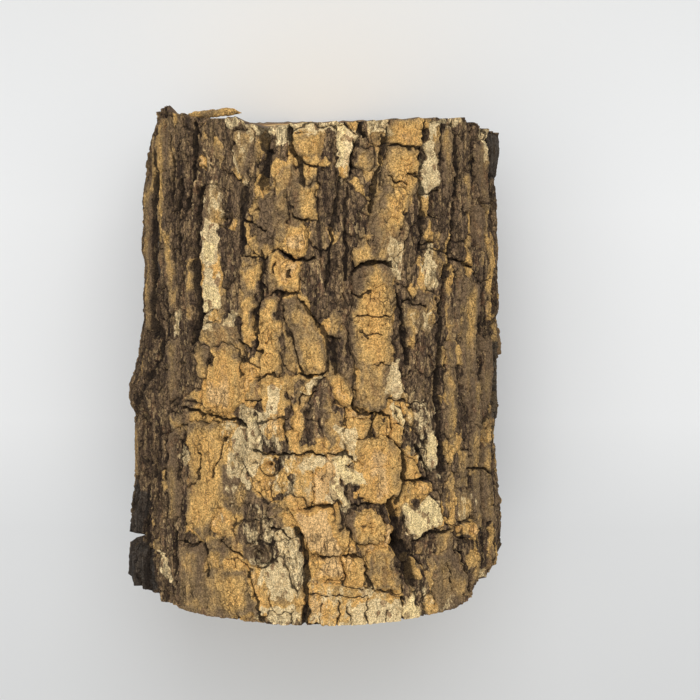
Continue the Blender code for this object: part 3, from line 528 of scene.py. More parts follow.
# Fine cracks: width and depth, then the line in pixels
FINE_CRACKS = [
    (0.6, 1.2, [(244, 220), (255, 221), (268, 228)]), (0.6, 1.2, [(293, 216), (305, 220)]),
    (0.6, 1.2, [(303, 164), (320, 169)]), (0.5, 1.0, [(243, 251), (260, 256)]),
    (0.7, 1.2, [(241, 335), (244, 342), (250, 345)]), (0.5, 1.0, [(352, 291), (369, 292)]),
    (0.5, 1.0, [(358, 314), (370, 316), (390, 314)]), (0.4, 0.8, [(360, 334), (380, 334)]),
    (0.5, 1.0, [(372, 361), (385, 364), (390, 361)]), (0.5, 1.0, [(277, 372), (262, 378)]),
    (0.6, 1.2, [(327, 339), (339, 340)]), (0.6, 1.2, [(403, 172), (417, 174)]),
    (0.6, 1.2, [(382, 178), (402, 183)]), (0.6, 1.2, [(418, 194), (427, 191), (438, 189)]),
    (0.5, 1.0, [(423, 211), (433, 216)]), (0.6, 1.2, [(420, 244), (432, 241)]),
    (0.6, 1.2, [(402, 303), (417, 307), (425, 305)]), (0.6, 1.0, [(466, 246), (476, 246)]),
    (0.5, 1.0, [(482, 278), (490, 277)]), (0.7, 1.2, [(182, 424), (193, 428)]),
    (0.5, 1.0, [(247, 397), (264, 396)]), (0.6, 1.2, [(330, 449), (350, 453), (356, 458)]),
    (0.6, 1.2, [(300, 402), (303, 395), (320, 392)]), (0.7, 1.2, [(287, 418), (288, 440)]),
    (0.7, 1.4, [(351, 396), (357, 408), (368, 415), (382, 409)]), (0.6, 1.2, [(385, 393), (405, 396)]),
    (0.6, 1.2, [(353, 506), (370, 503)]), (0.6, 1.2, [(453, 530), (460, 519), (472, 519)]),
    (0.5, 1.0, [(456, 540), (464, 541)]), (0.6, 1.2, [(181, 540), (200, 542)]),
    (0.7, 1.4, [(222, 541), (233, 550), (248, 558)]), (0.6, 1.2, [(320, 553), (335, 554)]),
    (0.5, 1.0, [(340, 557), (362, 555)]), (0.6, 1.2, [(363, 565), (370, 592)]),
    (0.7, 1.2, [(269, 532), (285, 532), (290, 540)]), (0.8, 1.4, [(200, 445), (203, 452), (202, 480)]),
    (0.7, 1.2, [(228, 440), (222, 458), (214, 475)]), (0.6, 1.2, [(190, 488), (200, 485)]),
    (0.8, 1.4, [(413, 541), (430, 531), (450, 526)]), (0.7, 1.4, [(444, 560), (449, 590)]),
    (0.9, 1.6, [(205, 543), (210, 575)]),
    (1.2, 1.8, [(360, 121), (364, 140)]), (0.9, 1.6, [(353, 145), (350, 163), (353, 167)]),
    (0.6, 1.2, [(275, 262), (275, 275)]), (0.6, 1.2, [(291, 270), (291, 278)]),
    (0.5, 0.9, [(337, 600), (339, 614), (338, 626)]), (0.4, 0.7, [(347, 604), (349, 627)]),
    (0.4, 0.7, [(366, 599), (364, 612), (367, 625)]), (0.5, 0.9, [(398, 597), (401, 621)]),
    (0.4, 0.7, [(384, 608), (385, 622)]), (0.4, 0.7, [(320, 602), (322, 626)]),
]


def trunk_radius(along):
    """Mean radius of the trunk at a distance from the head."""
    return HEAD_RADIUS + (FOOT_RADIUS - HEAD_RADIUS) * np.clip(along / LENGTH, 0, 1)


def axis_height(along):
    """Height of the trunk's axis, which lets the underside touch the plane all along."""
    return trunk_radius(along) - WORN_FLAT


def sight_line(pixels):
    """Direction of the lines of sight through some pixels of the view."""
    pixels = np.asarray(pixels, float)
    right = (pixels[:, 0] - FRAME_CENTRE) / FOCAL
    up = (FRAME_CENTRE - pixels[:, 1]) / FOCAL
    cos, sin = math.cos(EYE_TILT), math.sin(EYE_TILT)
    return right, up * cos - sin, -up * sin - cos


def on_bark(pixels):
    """Arc length round the trunk from its top, and distance from the head, of some pixels."""
    right, back, down = sight_line(pixels)
    along = np.full(len(right), LENGTH / 2)
    for _ in range(4):
        offset, drop = EYE_X - AXIS_X, EYE_HEIGHT - axis_height(along)
        a = right ** 2 + down ** 2
        b = right * offset + down * drop
        c = offset ** 2 + drop ** 2 - trunk_radius(along) ** 2
        reach = (-b - np.sqrt(np.maximum(b ** 2 - a * c, 0))) / a
        along = -back * reach
    x, z = offset + right * reach, drop + down * reach
    return np.arctan2(x, z) * MEAN_RADIUS, along


def silhouette(pixels):
    """Distance from the head, and distance from the axis, of lines of sight that graze the side."""
    right, back, down = sight_line(pixels)
    _, along = on_bark(pixels)
    offset, drop = EYE_X - AXIS_X, EYE_HEIGHT - axis_height(along)
    return along, np.abs(offset * down - drop * right) / np.hypot(right, down)


def lattice_noise(across, along, cell_across, cell_along, seed):
    """Smooth seeded noise from 0 to 1 that closes on itself round the trunk."""
    turns = max(3, round(AROUND / cell_across))
    rows = math.ceil(1.5 * LENGTH / cell_along) + 3
    table = np.random.default_rng(seed).random((turns, rows))
    u = across / AROUND * turns % turns
    v = np.clip(along / cell_along + 0.2 * rows, 0, rows - 1.001)
    column, row = u.astype(int) % turns, v.astype(int)
    fu, fv = u - np.floor(u), v - row
    fu, fv = fu * fu * (3 - 2 * fu), fv * fv * (3 - 2 * fv)
    near = table[column, row] * (1 - fv) + table[column, row + 1] * fv
    after = (column + 1) % turns
    far = table[after, row] * (1 - fv) + table[after, row + 1] * fv
    return near * (1 - fu) + far * fu


def smooth_step(value, low, high):
    """Zero below low, one above high and smooth between."""
    t = np.clip((value - low) / (high - low), 0, 1)
    return t * t * (3 - 2 * t)


def to_segment(across, along, start, end):
    """Distance from each point to one straight stretch."""
    run = end - start
    length = max(float(run @ run), 1e-9)
    t = np.clip(((across - start[0]) * run[0] + (along - start[1]) * run[1]) / length, 0, 1)
    return np.hypot(across - start[0] - t * run[0], along - start[1] - t * run[1])


def to_line(across, along, corners):
    """Distance from each point to a line laid on the bark."""
    stretches = zip(corners[:-1], corners[1:])
    return np.min([to_segment(across, along, start, end) for start, end in stretches], 0)


def inside_outline(across, along, corners):
    """Distance from each point to an outline laid on the bark, positive inside it."""
    inside = np.zeros(len(across), bool)
    distance = np.full(len(across), 1e3)
    for start, end in zip(corners, np.roll(corners, -1, 0)):
        distance = np.minimum(distance, to_segment(across, along, start, end))
        slope = (end[0] - start[0]) / (end[1] - start[1] + 1e-9)
        crosses = (start[1] > along) != (end[1] > along)
        inside ^= crosses & (across < start[0] + (along - start[1]) * slope)
    return np.where(inside, distance, -distance)


def near_corners(across, along, corners, margin):
    """Which points lie in the box of some corners, widened by a margin."""
    low, high = corners.min(0) - margin, corners.max(0) + margin
    return (across > low[0]) & (across < high[0]) & (along > low[1]) & (along < high[1])


def ridges(across, along):
    """Long rounded ridges with narrow gaps, of about 5 and 2.5 mm pitch."""
    broad = lattice_noise(across, along, 4.6, 34.0, SEED + 1)
    narrow = lattice_noise(across, along, 2.6, 17.0, SEED + 2)
    crest = 1 - np.abs(2 * broad - 1)
    return RIDGE_HEIGHT * (crest - 0.62) + 1.3 * (narrow - 0.5)


def cells(across, along):
    """Long bark plates parted by furrows, from the nearest of a jittered set of centres."""
    rng = np.random.default_rng(SEED + 3)
    turns, rows, stretch = 22, 6, 2.6
    nearest = np.full(len(across), 1e3)
    second = np.full(len(across), 1e3)
    level = np.zeros(len(across))
    for i in range(turns):
        for j in range(rows):
            centre = (i + rng.uniform(0.1, 0.9)) * AROUND / turns
            station = (j + rng.uniform(-0.1, 1.1) - 0.5 + 0.5 * (i % 2)) * LENGTH / (rows - 1)
            rise = rng.uniform(-0.5, 0.8)
            gap = (across - centre + AROUND / 2) % AROUND - AROUND / 2
            distance = np.hypot(gap, (along - station) / stretch)
            closer = distance < nearest
            second = np.where(closer, nearest, np.minimum(second, distance))
            level = np.where(closer, rise, level)
            nearest = np.where(closer, distance, nearest)
    plateau = smooth_step(second - nearest, 0.2, 3.4)
    return plateau * (level + CELL_FURROW) - CELL_FURROW


def scales(across, along, cell_across, cell_along, seed):
    """Small irregular scales: distance to the nearest scale's edge, and a number for each scale."""
    turns = round(AROUND / cell_across)
    rows = math.ceil(1.3 * LENGTH / cell_along) + 4
    rng = np.random.default_rng(seed)
    shift_u, shift_v, number = rng.random((3, turns, rows))
    u = across / AROUND * turns
    v = along / cell_along + 3
    column, row = np.floor(u).astype(int), np.clip(np.floor(v).astype(int), 1, rows - 2)
    nearest = np.full(len(across), 1e3)
    second = np.full(len(across), 1e3)
    own = np.zeros(len(across))
    for i in (-1, 0, 1):
        for j in (-1, 0, 1):
            c, r = (column + i) % turns, row + j
            gap_u = column + i + 0.1 + 0.8 * shift_u[c, r] - u
            gap_v = row + j + 0.1 + 0.8 * shift_v[c, r] - v
            distance = np.hypot(gap_u, gap_v)
            closer = distance < nearest
            second = np.where(closer, nearest, np.minimum(second, distance))
            own = np.where(closer, number[c, r], own)
            nearest = np.where(closer, distance, nearest)
    return (second - nearest) * cell_across, own


def blend(value, target, share):
    """The value moved towards a target by a share."""
    return value + (target - value) * share


class Bark:
    """Height and colour fields of the bark over a set of points."""

    def __init__(self, angle, along):
        self.angle = angle
        self.along = along
        self.across = angle * MEAN_RADIUS
        self.height, self.plate, self.tone = np.zeros((3, len(angle)))
        self.pale, self.slate, self.crack = np.zeros((3, len(angle)))
        self.wander()

    def noise(self, cell_across, cell_along, seed):
        """Seeded noise of one cell size at these points."""
        return lattice_noise(self.across, self.along, cell_across, cell_along, SEED + seed)

    def wander(self):
        """Moved copies of the points, so that every outline and crack runs raggedly."""
        self.sway = EDGE_WANDER * (self.noise(5.0, 9.0, 4) - 0.5)
        drift = 2 * EDGE_WANDER * (self.noise(7.0, 7.0, 5) - 0.5)
        self.u, self.v = self.across + self.sway, self.along + drift
        ragged_u = RAGGED * (self.noise(1.3, 2.0, 20) - 0.5 + 0.6 * (self.noise(0.6, 0.8, 21) - 0.5))
        ragged_v = RAGGED * (self.noise(1.6, 1.6, 22) - 0.5 + 0.6 * (self.noise(0.7, 0.7, 23) - 0.5))
        self.ragged_u, self.ragged_v = self.u + 2 * ragged_u, self.v + 2 * ragged_v
        self.mottle = self.noise(1.8, 2.4, 24)
        self.moat_gate = smooth_step(self.noise(5.0, 6.0, 25), 0.3, 0.62)

    def turned(self, degrees):
        """Zero at the top of the log, one past some degrees round from it."""
        return smooth_step(np.abs(self.angle), *np.radians(degrees))

    def ridged(self, far):
        """Height of the ground: shallow ridges on top, full ones at the sides, furrows below."""
        back = self.turned(BACK_TURN)
        sides = SIDE_RELIEF * ridges(self.u, self.v)
        under = cells(self.u + 1.5 * self.sway, self.v) + 0.35 * sides
        return (0.3 * sides + 0.9) * (1 - far) + sides * far * (1 - back) + under * back

    def ground(self):
        """The ridges, furrows, scales and fibres that cover the whole trunk."""
        far = self.turned(SIDE_TURN)
        height = self.ridged(far)
        scale_edge, scale = scales(self.ragged_u, self.ragged_v, *SCALES)
        blade_edge, blade = scales(self.ragged_u, self.v, *BLADES)
        chip_edge, chip = scales(self.ragged_u, self.ragged_v, *CHIPS)
        beside = far + 0.5 * (self.noise(3.0, 12.0, 33) - 0.5) > 0.5
        edge, own = np.where(beside, blade_edge, scale_edge), np.where(beside, blade, scale)
        open_gap = smooth_step(self.noise(4.0, 6.0, 34), 0.25, 0.6)
        open_chip = smooth_step(self.noise(3.0, 4.0, 35), 0.5, 0.75)
        gap = open_gap * (1 - smooth_step(edge, 0.05, 0.5))
        chip_gap = open_chip * (1 - smooth_step(chip_edge, 0.02, 0.3))
        thread_edge, thread = scales(self.ragged_u, self.v, *THREADS)
        thread_gap = far * (1 - smooth_step(thread_edge, 0.0, 0.3))
        height += (0.6 + 0.2 * far) * (own - 0.5) - (0.65 + 0.35 * far) * gap
        height += 0.45 * (chip - 0.5) - 0.45 * chip_gap
        height += 0.25 * far * (thread - 0.5) - 0.3 * thread_gap
        self.height = height
        self.crack = np.maximum(np.maximum(0.66 * gap, 0.55 * chip_gap), 0.5 * thread_gap)
        share, tone = self.region()
        self.tone = tone + (0.45 - 0.15 * far) * (own - 0.5) + 0.3 * (chip - 0.5)
        self.tone += 0.2 * far * (thread - 0.5)
        cover = share + 0.75 * (own - 0.5) + 0.4 * (chip - 0.5) + 0.1 * (height - 0.6)
        self.plate = smooth_step(cover, 0.35, 0.75)

    def region(self):
        """How much of the ground is tan scale, and its tone, over the whole trunk."""
        share = np.full(len(self.angle), SIDE_SHARE)
        tone = np.full(len(self.angle), SIDE_TONE)
        for area_share, area_tone, outline in REGIONS.values():
            reach = inside_outline(self.u, self.v, self.corners(outline))
            cover = smooth_step(reach, -1.5, 1.5)
            share = blend(share, area_share, cover)
            tone = blend(tone, area_tone, cover)
        return share, tone

    def corners(self, pixels):
        """Corners of an outline or line, laid on the bark."""
        return np.stack(on_bark(pixels), 1)

    def lay_plate(self, corners, rise, tone):
        """Raises one plate with a ragged edge and a broken crack round it, and gives it its tone, which
        browns towards the edge, partly as painted shade.
        """
        spot = near_corners(self.ragged_u, self.ragged_v, corners, 1.5)
        if not spot.any():
            return
        reach = inside_outline(self.ragged_u[spot], self.ragged_v[spot], corners)
        cover = smooth_step(reach, -0.2, PLATE_BEVEL)
        height = blend(self.height[spot], PLATE_LEVEL * rise + 0.3 * self.height[spot], cover)
        moat = np.exp(-((reach + 0.1) / 0.25) ** 2) * self.moat_gate[spot]
        self.height[spot] = height - 0.6 * moat
        skin = smooth_step(reach + 1.3 * (self.mottle[spot] - 0.5), -0.5, 0.7)
        self.plate[spot] = blend(self.plate[spot], 1.0, skin)
        # Browner towards the plate's edge: partly the bark's own colour, partly painted shade where the
        # plate falls away
        edge = reach + 1.6 * (self.mottle[spot] - 0.5)
        shaded = tone - 0.3 * (1 - smooth_step(edge, 0.0, min(3.0, 0.7 * reach.max())))
        self.tone[spot] = blend(self.tone[spot], shaded, skin)
        self.crack[spot] = np.maximum(self.crack[spot] * (1 - 0.8 * cover), 0.66 * moat)

    def lay_flake(self, outline, radius, lift):
        """Raises one thick dark flake with a steep edge."""
        degrees, along = np.array(outline, float).T
        corners = np.stack([np.radians(degrees) * MEAN_RADIUS, along], 1)
        u = (self.ragged_u + AROUND / 2) % AROUND - AROUND / 2
        spot = near_corners(u, self.ragged_v, corners, 1.0)
        if not spot.any():
            return
        reach = inside_outline(u[spot], self.ragged_v[spot], corners)
        cover = smooth_step(reach, -0.1, 0.3)
        level = radius + lift * (self.along[spot] - along.mean()) / np.ptp(along)
        self.face[spot] = blend(self.face[spot], level + 0.3 * self.height[spot], cover)

    def cut(self, corners, width, depth):
        """Cuts one fissure or crack."""
        spot = near_corners(self.ragged_u, self.ragged_v, corners, width)
        if not spot.any():
            return
        distance = to_line(self.ragged_u[spot], self.ragged_v[spot], corners) / (width / 2)
        share = np.clip(1 - distance ** 2, 0, 1)
        self.height[spot] -= depth * share ** 1.2
        self.crack[spot] = np.maximum(self.crack[spot], np.clip(1.1 * share, 0, 1))

    def set_knot(self, radius, collar, eye, centre):
        """Raises the collar of one knot and sinks its eye."""
        distance = to_line(self.u, self.v, self.corners([centre, centre])) / radius
        self.height += collar * np.exp(-((distance - 1) / 0.4) ** 2)
        sunk = np.exp(-(distance / 0.45) ** 2)
        ring = np.exp(-((distance - 1.45) / 0.17) ** 2)
        self.height -= eye * sunk + 0.6 * ring
        self.crack = np.maximum(self.crack, np.maximum(0.6 * sunk, 0.7 * ring * self.moat_gate))

    def paint(self, field, pixels, soft, most=1.0):
        """Marks one patch of colour, with a ragged edge."""
        corners = self.corners(pixels)
        spot = near_corners(self.ragged_u, self.ragged_v, corners, 1.5)
        if spot.any():
            reach = inside_outline(self.ragged_u[spot], self.ragged_v[spot], corners)
            broken = reach + 1.8 * (self.mottle[spot] - 0.5) + 0.2
            field[spot] = np.maximum(field[spot], most * smooth_step(broken, -soft, soft))

    def grain(self):
        """Fine grain, pits and hair cracks, stronger between the plates than on them."""
        rough = 1 - 0.6 * self.plate
        fibre = self.noise(0.9, 8.0, 40) + 0.8 * self.noise(0.5, 3.5, 41) - 0.9
        self.height += 0.48 * rough * fibre
        self.height += 0.22 * (self.noise(0.7, 0.9, 42) - 0.5) + 0.3 * (self.noise(2.2, 3.0, 43) - 0.5)
        self.height += 0.3 * (self.noise(0.42, 0.5, 46) - 0.5)
        vein = np.abs(self.noise(3.4, 4.6, 44) + 0.35 * self.noise(1.1, 1.3, 45) - 0.675)
        split = (1 - smooth_step(vein, 0.0, 0.035)) * self.plate * (1 - 0.8 * np.minimum(self.pale, 1))
        self.height -= 0.5 * split
        self.crack = np.maximum(self.crack, 0.55 * split)

    def radius(self):
        """Radius of the bark's surface, with all its colour fields filled in."""
        self.ground()
        for rise, tone, outline in [*SMALL_PLATES.values(), *PLATES.values()]:
            self.lay_plate(self.corners(outline), rise, tone)
        self.tone += 0.4 * (self.noise(4.5, 6.5, 50) - 0.5)
        self.weather()
        self.grain()
        self.open_cracks()
        self.stain()
        left, at_left = side_swell(self.angle, self.along, LEFT_EDGE, -1)
        right, at_right = side_swell(self.angle, self.along, RIGHT_EDGE, 1)
        calm = 1 - 0.45 * (at_left + at_right)
        worn = 1 - 0.4 * self.turned(WORN_TURN)
        self.face = trunk_radius(self.along) + left + right + self.height * calm * worn
        for radius, lift, outline in FLAKES.values():
            self.lay_flake(outline, radius, lift)
        return self.face

    def weather(self):
        """Marks the pale patches, the thin ones and the bared ones."""
        for patch in PALE.values():
            self.paint(self.pale, patch, 0.7)
        for patch in FAINT_PALE.values():
            self.paint(self.pale, patch, 1.5, FAINT_LEVEL)
        for patch in BRIGHT.values():
            self.paint(self.pale, patch, 0.6, BARED_LEVEL)

    def open_cracks(self):
        """Cuts the fissures and cracks, and sets the knots."""
        for width, depth, line in FISSURES.values():
            self.cut(self.corners(line), FISSURE_WIDTH * width, FISSURE_DEPTH * depth)
        for width, depth, line in [*CRACKS.values(), *FINE_CRACKS]:
            self.cut(self.corners(line), width, depth)
        for knot in KNOTS.values():
            self.set_knot(*knot)

    def stain(self):
        """Shifts the tone inside some plates, and marks the slate-coloured bark and the painted shadow at
        the far left gully and the right flake.
        """
        for shift, outline in TINTS.values():
            cover = np.zeros(len(self.tone))
            self.paint(cover, outline, 1.0)
            self.tone += shift * cover
        for patch in SLATE_AND_SHADOW.values():
            self.paint(self.slate, patch, 0.5)


def side_swell(angle, along, edge, side):
    """Extra radius that brings one side out to its silhouette, and its weight."""
    stations, reach = silhouette(edge)
    turn = np.degrees(angle) - side * SWELL_AT
    extra = np.interp(along, stations, reach) - EDGE_RELIEF - trunk_radius(along)
    return extra * np.exp(-(turn / SWELL_SPREAD) ** 2), np.exp(-(turn / SWELL_CALM) ** 2)


def rim(angle, pixels, seed):
    """Distance from the head at which the bark ends, all round one end of the log."""
    across, along = on_bark(pixels)
    order = np.argsort(across)
    seen = np.interp(angle * MEAN_RADIUS, across[order], along[order])
    flat, turn = (0.0, HEAD_TURN) if pixels is HEAD_RIM else (LENGTH, FOOT_TURN)
    chips = RIM_CHIPS * (lattice_noise(angle * MEAN_RADIUS, 0 * angle, 6.0, 20.0, seed) - 0.3)
    hidden = smooth_step(np.abs(angle), *np.radians(turn))
    inward = flat + chips if flat == 0 else flat - chips
    nicks = RIM_NICKS * (lattice_noise(angle * MEAN_RADIUS, 0 * angle, 0.9, 20.0, seed + 50) - 0.5)
    return seen * (1 - hidden) + inward * hidden + nicks


def place(angle, radius, along):
    """Point of the log in metres, kept above the plane that it rests on."""
    x = AXIS_X + radius * np.sin(angle)
    z = axis_height(along) + radius * np.cos(angle)
    y = HEAD_Y - along
    return np.stack([x, y + 0 * x, np.maximum(z, 0)], -1) * MM


def wrapped(angle):
    """The same angles, from minus to plus half a turn."""
    return (angle + math.pi) % (2 * math.pi) - math.pi


def rims(angle):
    """Distances from the head of the head rim and the foot rim."""
    head = rim(angle, HEAD_RIM, SEED + 6)
    foot = np.minimum(rim(angle, FOOT_RIM, SEED + 7), LENGTH)
    return head, foot


def make_mesh(name, points, faces, fields, finish):
    """A smooth mesh object with a value of each field at every point."""
    mesh = bpy.data.meshes.new(name)
    mesh.from_pydata(points, [], faces)
    mesh.shade_smooth()
    for field, values in fields.items():
        layer = mesh.attributes.new(field, "FLOAT", "POINT")
        layer.data.foreach_set("value", np.asarray(values, np.float32))
    mesh.materials.append(finish)
    thing = bpy.data.objects.new(name, mesh)
    bpy.context.scene.collection.objects.link(thing)
    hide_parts("log")
    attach(thing, "root")
    return thing


def add_map(thing, u, v):
    """A flat map of the piece, from a pair of numbers for each point."""
    layer = thing.data.uv_layers.new(name="OFBake")
    corners = np.empty(len(thing.data.loops), np.int32)
    thing.data.loops.foreach_get("vertex_index", corners)
    layer.uv.foreach_set("vector", np.stack([u[corners], v[corners]], 1).astype(np.float32).ravel())


def add_grid_map(thing, rows, columns, margin):
    """A flat map of a piece that is made of rows of points."""
    u = np.tile(np.linspace(margin, 1 - margin, columns), rows)
    v = np.repeat(np.linspace(margin, 1 - margin, rows), columns)
    add_map(thing, u, v)


def grid_faces(rows, columns, closed=False):
    """The quads between neighbouring rows of points."""
    row = np.arange(rows - 1)[:, None] * columns
    count = columns if closed else columns - 1
    first = np.arange(count)[None, :]
    second = (first + 1) % columns
    quads = np.stack([row + first, row + columns + first, row + columns + second, row + second], -1)
    return quads.reshape(-1, 4).tolist()


def cut_notch(points):
    """Draws in the bark that the view from above would show inside the notch."""
    right, back, rise = (points / MM - [EYE_X, HEAD_Y, EYE_HEIGHT]).T
    cos, sin = math.cos(EYE_TILT), math.sin(EYE_TILT)
    depth = -back * sin - rise * cos
    column = FRAME_CENTRE + FOCAL * right / depth
    row = FRAME_CENTRE - FOCAL * (back * cos - rise * sin) / depth
    reach = inside_outline(column, row, np.array(NOTCH, float))
    limit = (EYE_X + (NOTCH_END - FRAME_CENTRE) / FOCAL * depth) * MM
    points[:, 0] = np.where(reach > 0, np.maximum(points[:, 0], limit), points[:, 0])
    return points


def make_strip(name, start, end, columns, finish):
    """One long strip of bark, from rim to rim."""
    turn = np.radians(np.linspace(start, end, columns + 1))
    angle = wrapped(turn)
    head, foot = rims(angle)
    share = np.linspace(0, 1, ROWS + 1)[:, None]
    along = (head + (foot - head) * share).ravel()
    angle = np.tile(angle, ROWS + 1)
    bark = Bark(angle, along)
    points = cut_notch(place(angle, bark.radius(), along))
    fields = {"height": bark.height, "plate": bark.plate, "tone": bark.tone,
              "pale": bark.pale, "slate": bark.slate, "crack": bark.crack}
    thing = make_mesh(name, points, grid_faces(ROWS + 1, columns + 1), fields, finish)
    add_grid_map(thing, ROWS + 1, columns + 1, 0.01)


def end_rings(angle, at_head):
    """Radius, distance from the head and share of bark at each point of the rings of one sawn end."""
    flat = HEAD_SET_BACK if at_head else LENGTH
    lean, chip = (HEAD_LEAN, HEAD_CHIP) if at_head else (0, 0)
    edge_along = rims(angle)[0 if at_head else 1]
    outer = Bark(angle, edge_along).radius()
    wave = END_WAVE * (lattice_noise(angle * MEAN_RADIUS, 0 * angle, 14.0, 20.0, SEED + 8) - 0.5)
    inner = trunk_radius(0.0 if at_head else LENGTH) - BARK_THICKNESS + wave
    radii, alongs, shares = [], [], []
    for step in range(1, WOOD_RINGS + 1):
        radii.append(inner * (step / WOOD_RINGS))
        side = radii[-1] * np.sin(angle)
        alongs.append(flat + lean * side + chip * smooth_step(side, *CHIPPED_SIDE))
        shares.append(np.zeros(len(angle)))
    cut = alongs[-1]
    for step in range(1, BARK_RINGS + 1):
        share = step / BARK_RINGS
        radii.append(inner + (outer - inner) * share)
        alongs.append(cut + (edge_along - cut) * share ** 0.6)
        shares.append(np.full(len(angle), share))
    return np.concatenate(radii), np.concatenate(alongs), np.concatenate(shares)


def make_end(name, at_head, finish):
    """One sawn end: the flat wood, then the ring of bark out to the rim."""
    turns = [np.radians(np.linspace(start, end, columns, endpoint=False))
             for start, end, columns in STRIPS.values()]
    angle = wrapped(np.concatenate(turns))
    radius, along, share = end_rings(angle, at_head)
    angles = np.tile(angle, WOOD_RINGS + BARK_RINGS)
    points = place(angles, radius, along)
    centre = place(np.zeros(1), np.zeros(1), np.array([HEAD_SET_BACK if at_head else LENGTH]))
    faces = grid_faces(WOOD_RINGS + BARK_RINGS, len(angle), closed=True)
    hub = len(points)
    faces += [(hub, i, (i + 1) % len(angle)) for i in range(len(angle))]
    if at_head:
        faces = [tuple(reversed(face)) for face in faces]
    points = np.concatenate([points, centre])
    fields = {"bark_share": np.append(share, 0)}
    thing = make_mesh(name, points, faces, fields, finish)
    u = 0.5 + END_MAP * np.append(radius * np.sin(angles), 0)
    v = 0.5 + END_MAP * np.append(radius * np.cos(angles), 0)
    add_map(thing, u, v)


def make_splinter(finish):
    """The ragged tapering sliver that springs from the head rim and runs across it."""
    across, along = on_bark(SPLINTER_LINE)
    knots = np.linspace(0, 1, len(across))
    steps = np.linspace(0, 1, SPLINTER_STEPS)[:, None]
    turn = np.linspace(0, 2 * math.pi, SPLINTER_SIDES, endpoint=False)[None, :]
    arc, run = np.interp(steps, knots, across), np.interp(steps, knots, along)
    half = np.interp(steps, knots, SPLINTER_HALF)
    rough = lattice_noise((arc + 1.2 * turn).ravel(), (8 * steps + 0 * turn).ravel(), 0.7, 0.5, SEED + 9)
    half = half * (0.7 + 0.6 * rough.reshape(SPLINTER_STEPS, SPLINTER_SIDES))
    radius = HEAD_RADIUS - SPLINTER_LEVEL + SPLINTER_DEPTH * half * np.cos(turn)
    points = place(arc / MEAN_RADIUS + 0 * turn, radius, run + half * np.sin(turn)).reshape(-1, 3)
    faces = grid_faces(SPLINTER_STEPS, SPLINTER_SIDES, closed=True)
    last = len(points) - SPLINTER_SIDES
    faces.append(list(range(SPLINTER_SIDES)))
    faces.append(list(reversed(range(last, last + SPLINTER_SIDES))))
    flat = np.zeros(len(points))
    fields = {"height": flat + 0.6, "plate": flat + 1, "tone": flat + 0.42 + 0.3 * (rough - 0.5),
              "pale": 0.25 * rough, "slate": flat, "crack": flat}
    thing = make_mesh("log_splinter", points, faces, fields, finish)
    add_grid_map(thing, SPLINTER_STEPS, SPLINTER_SIDES, 0.02)


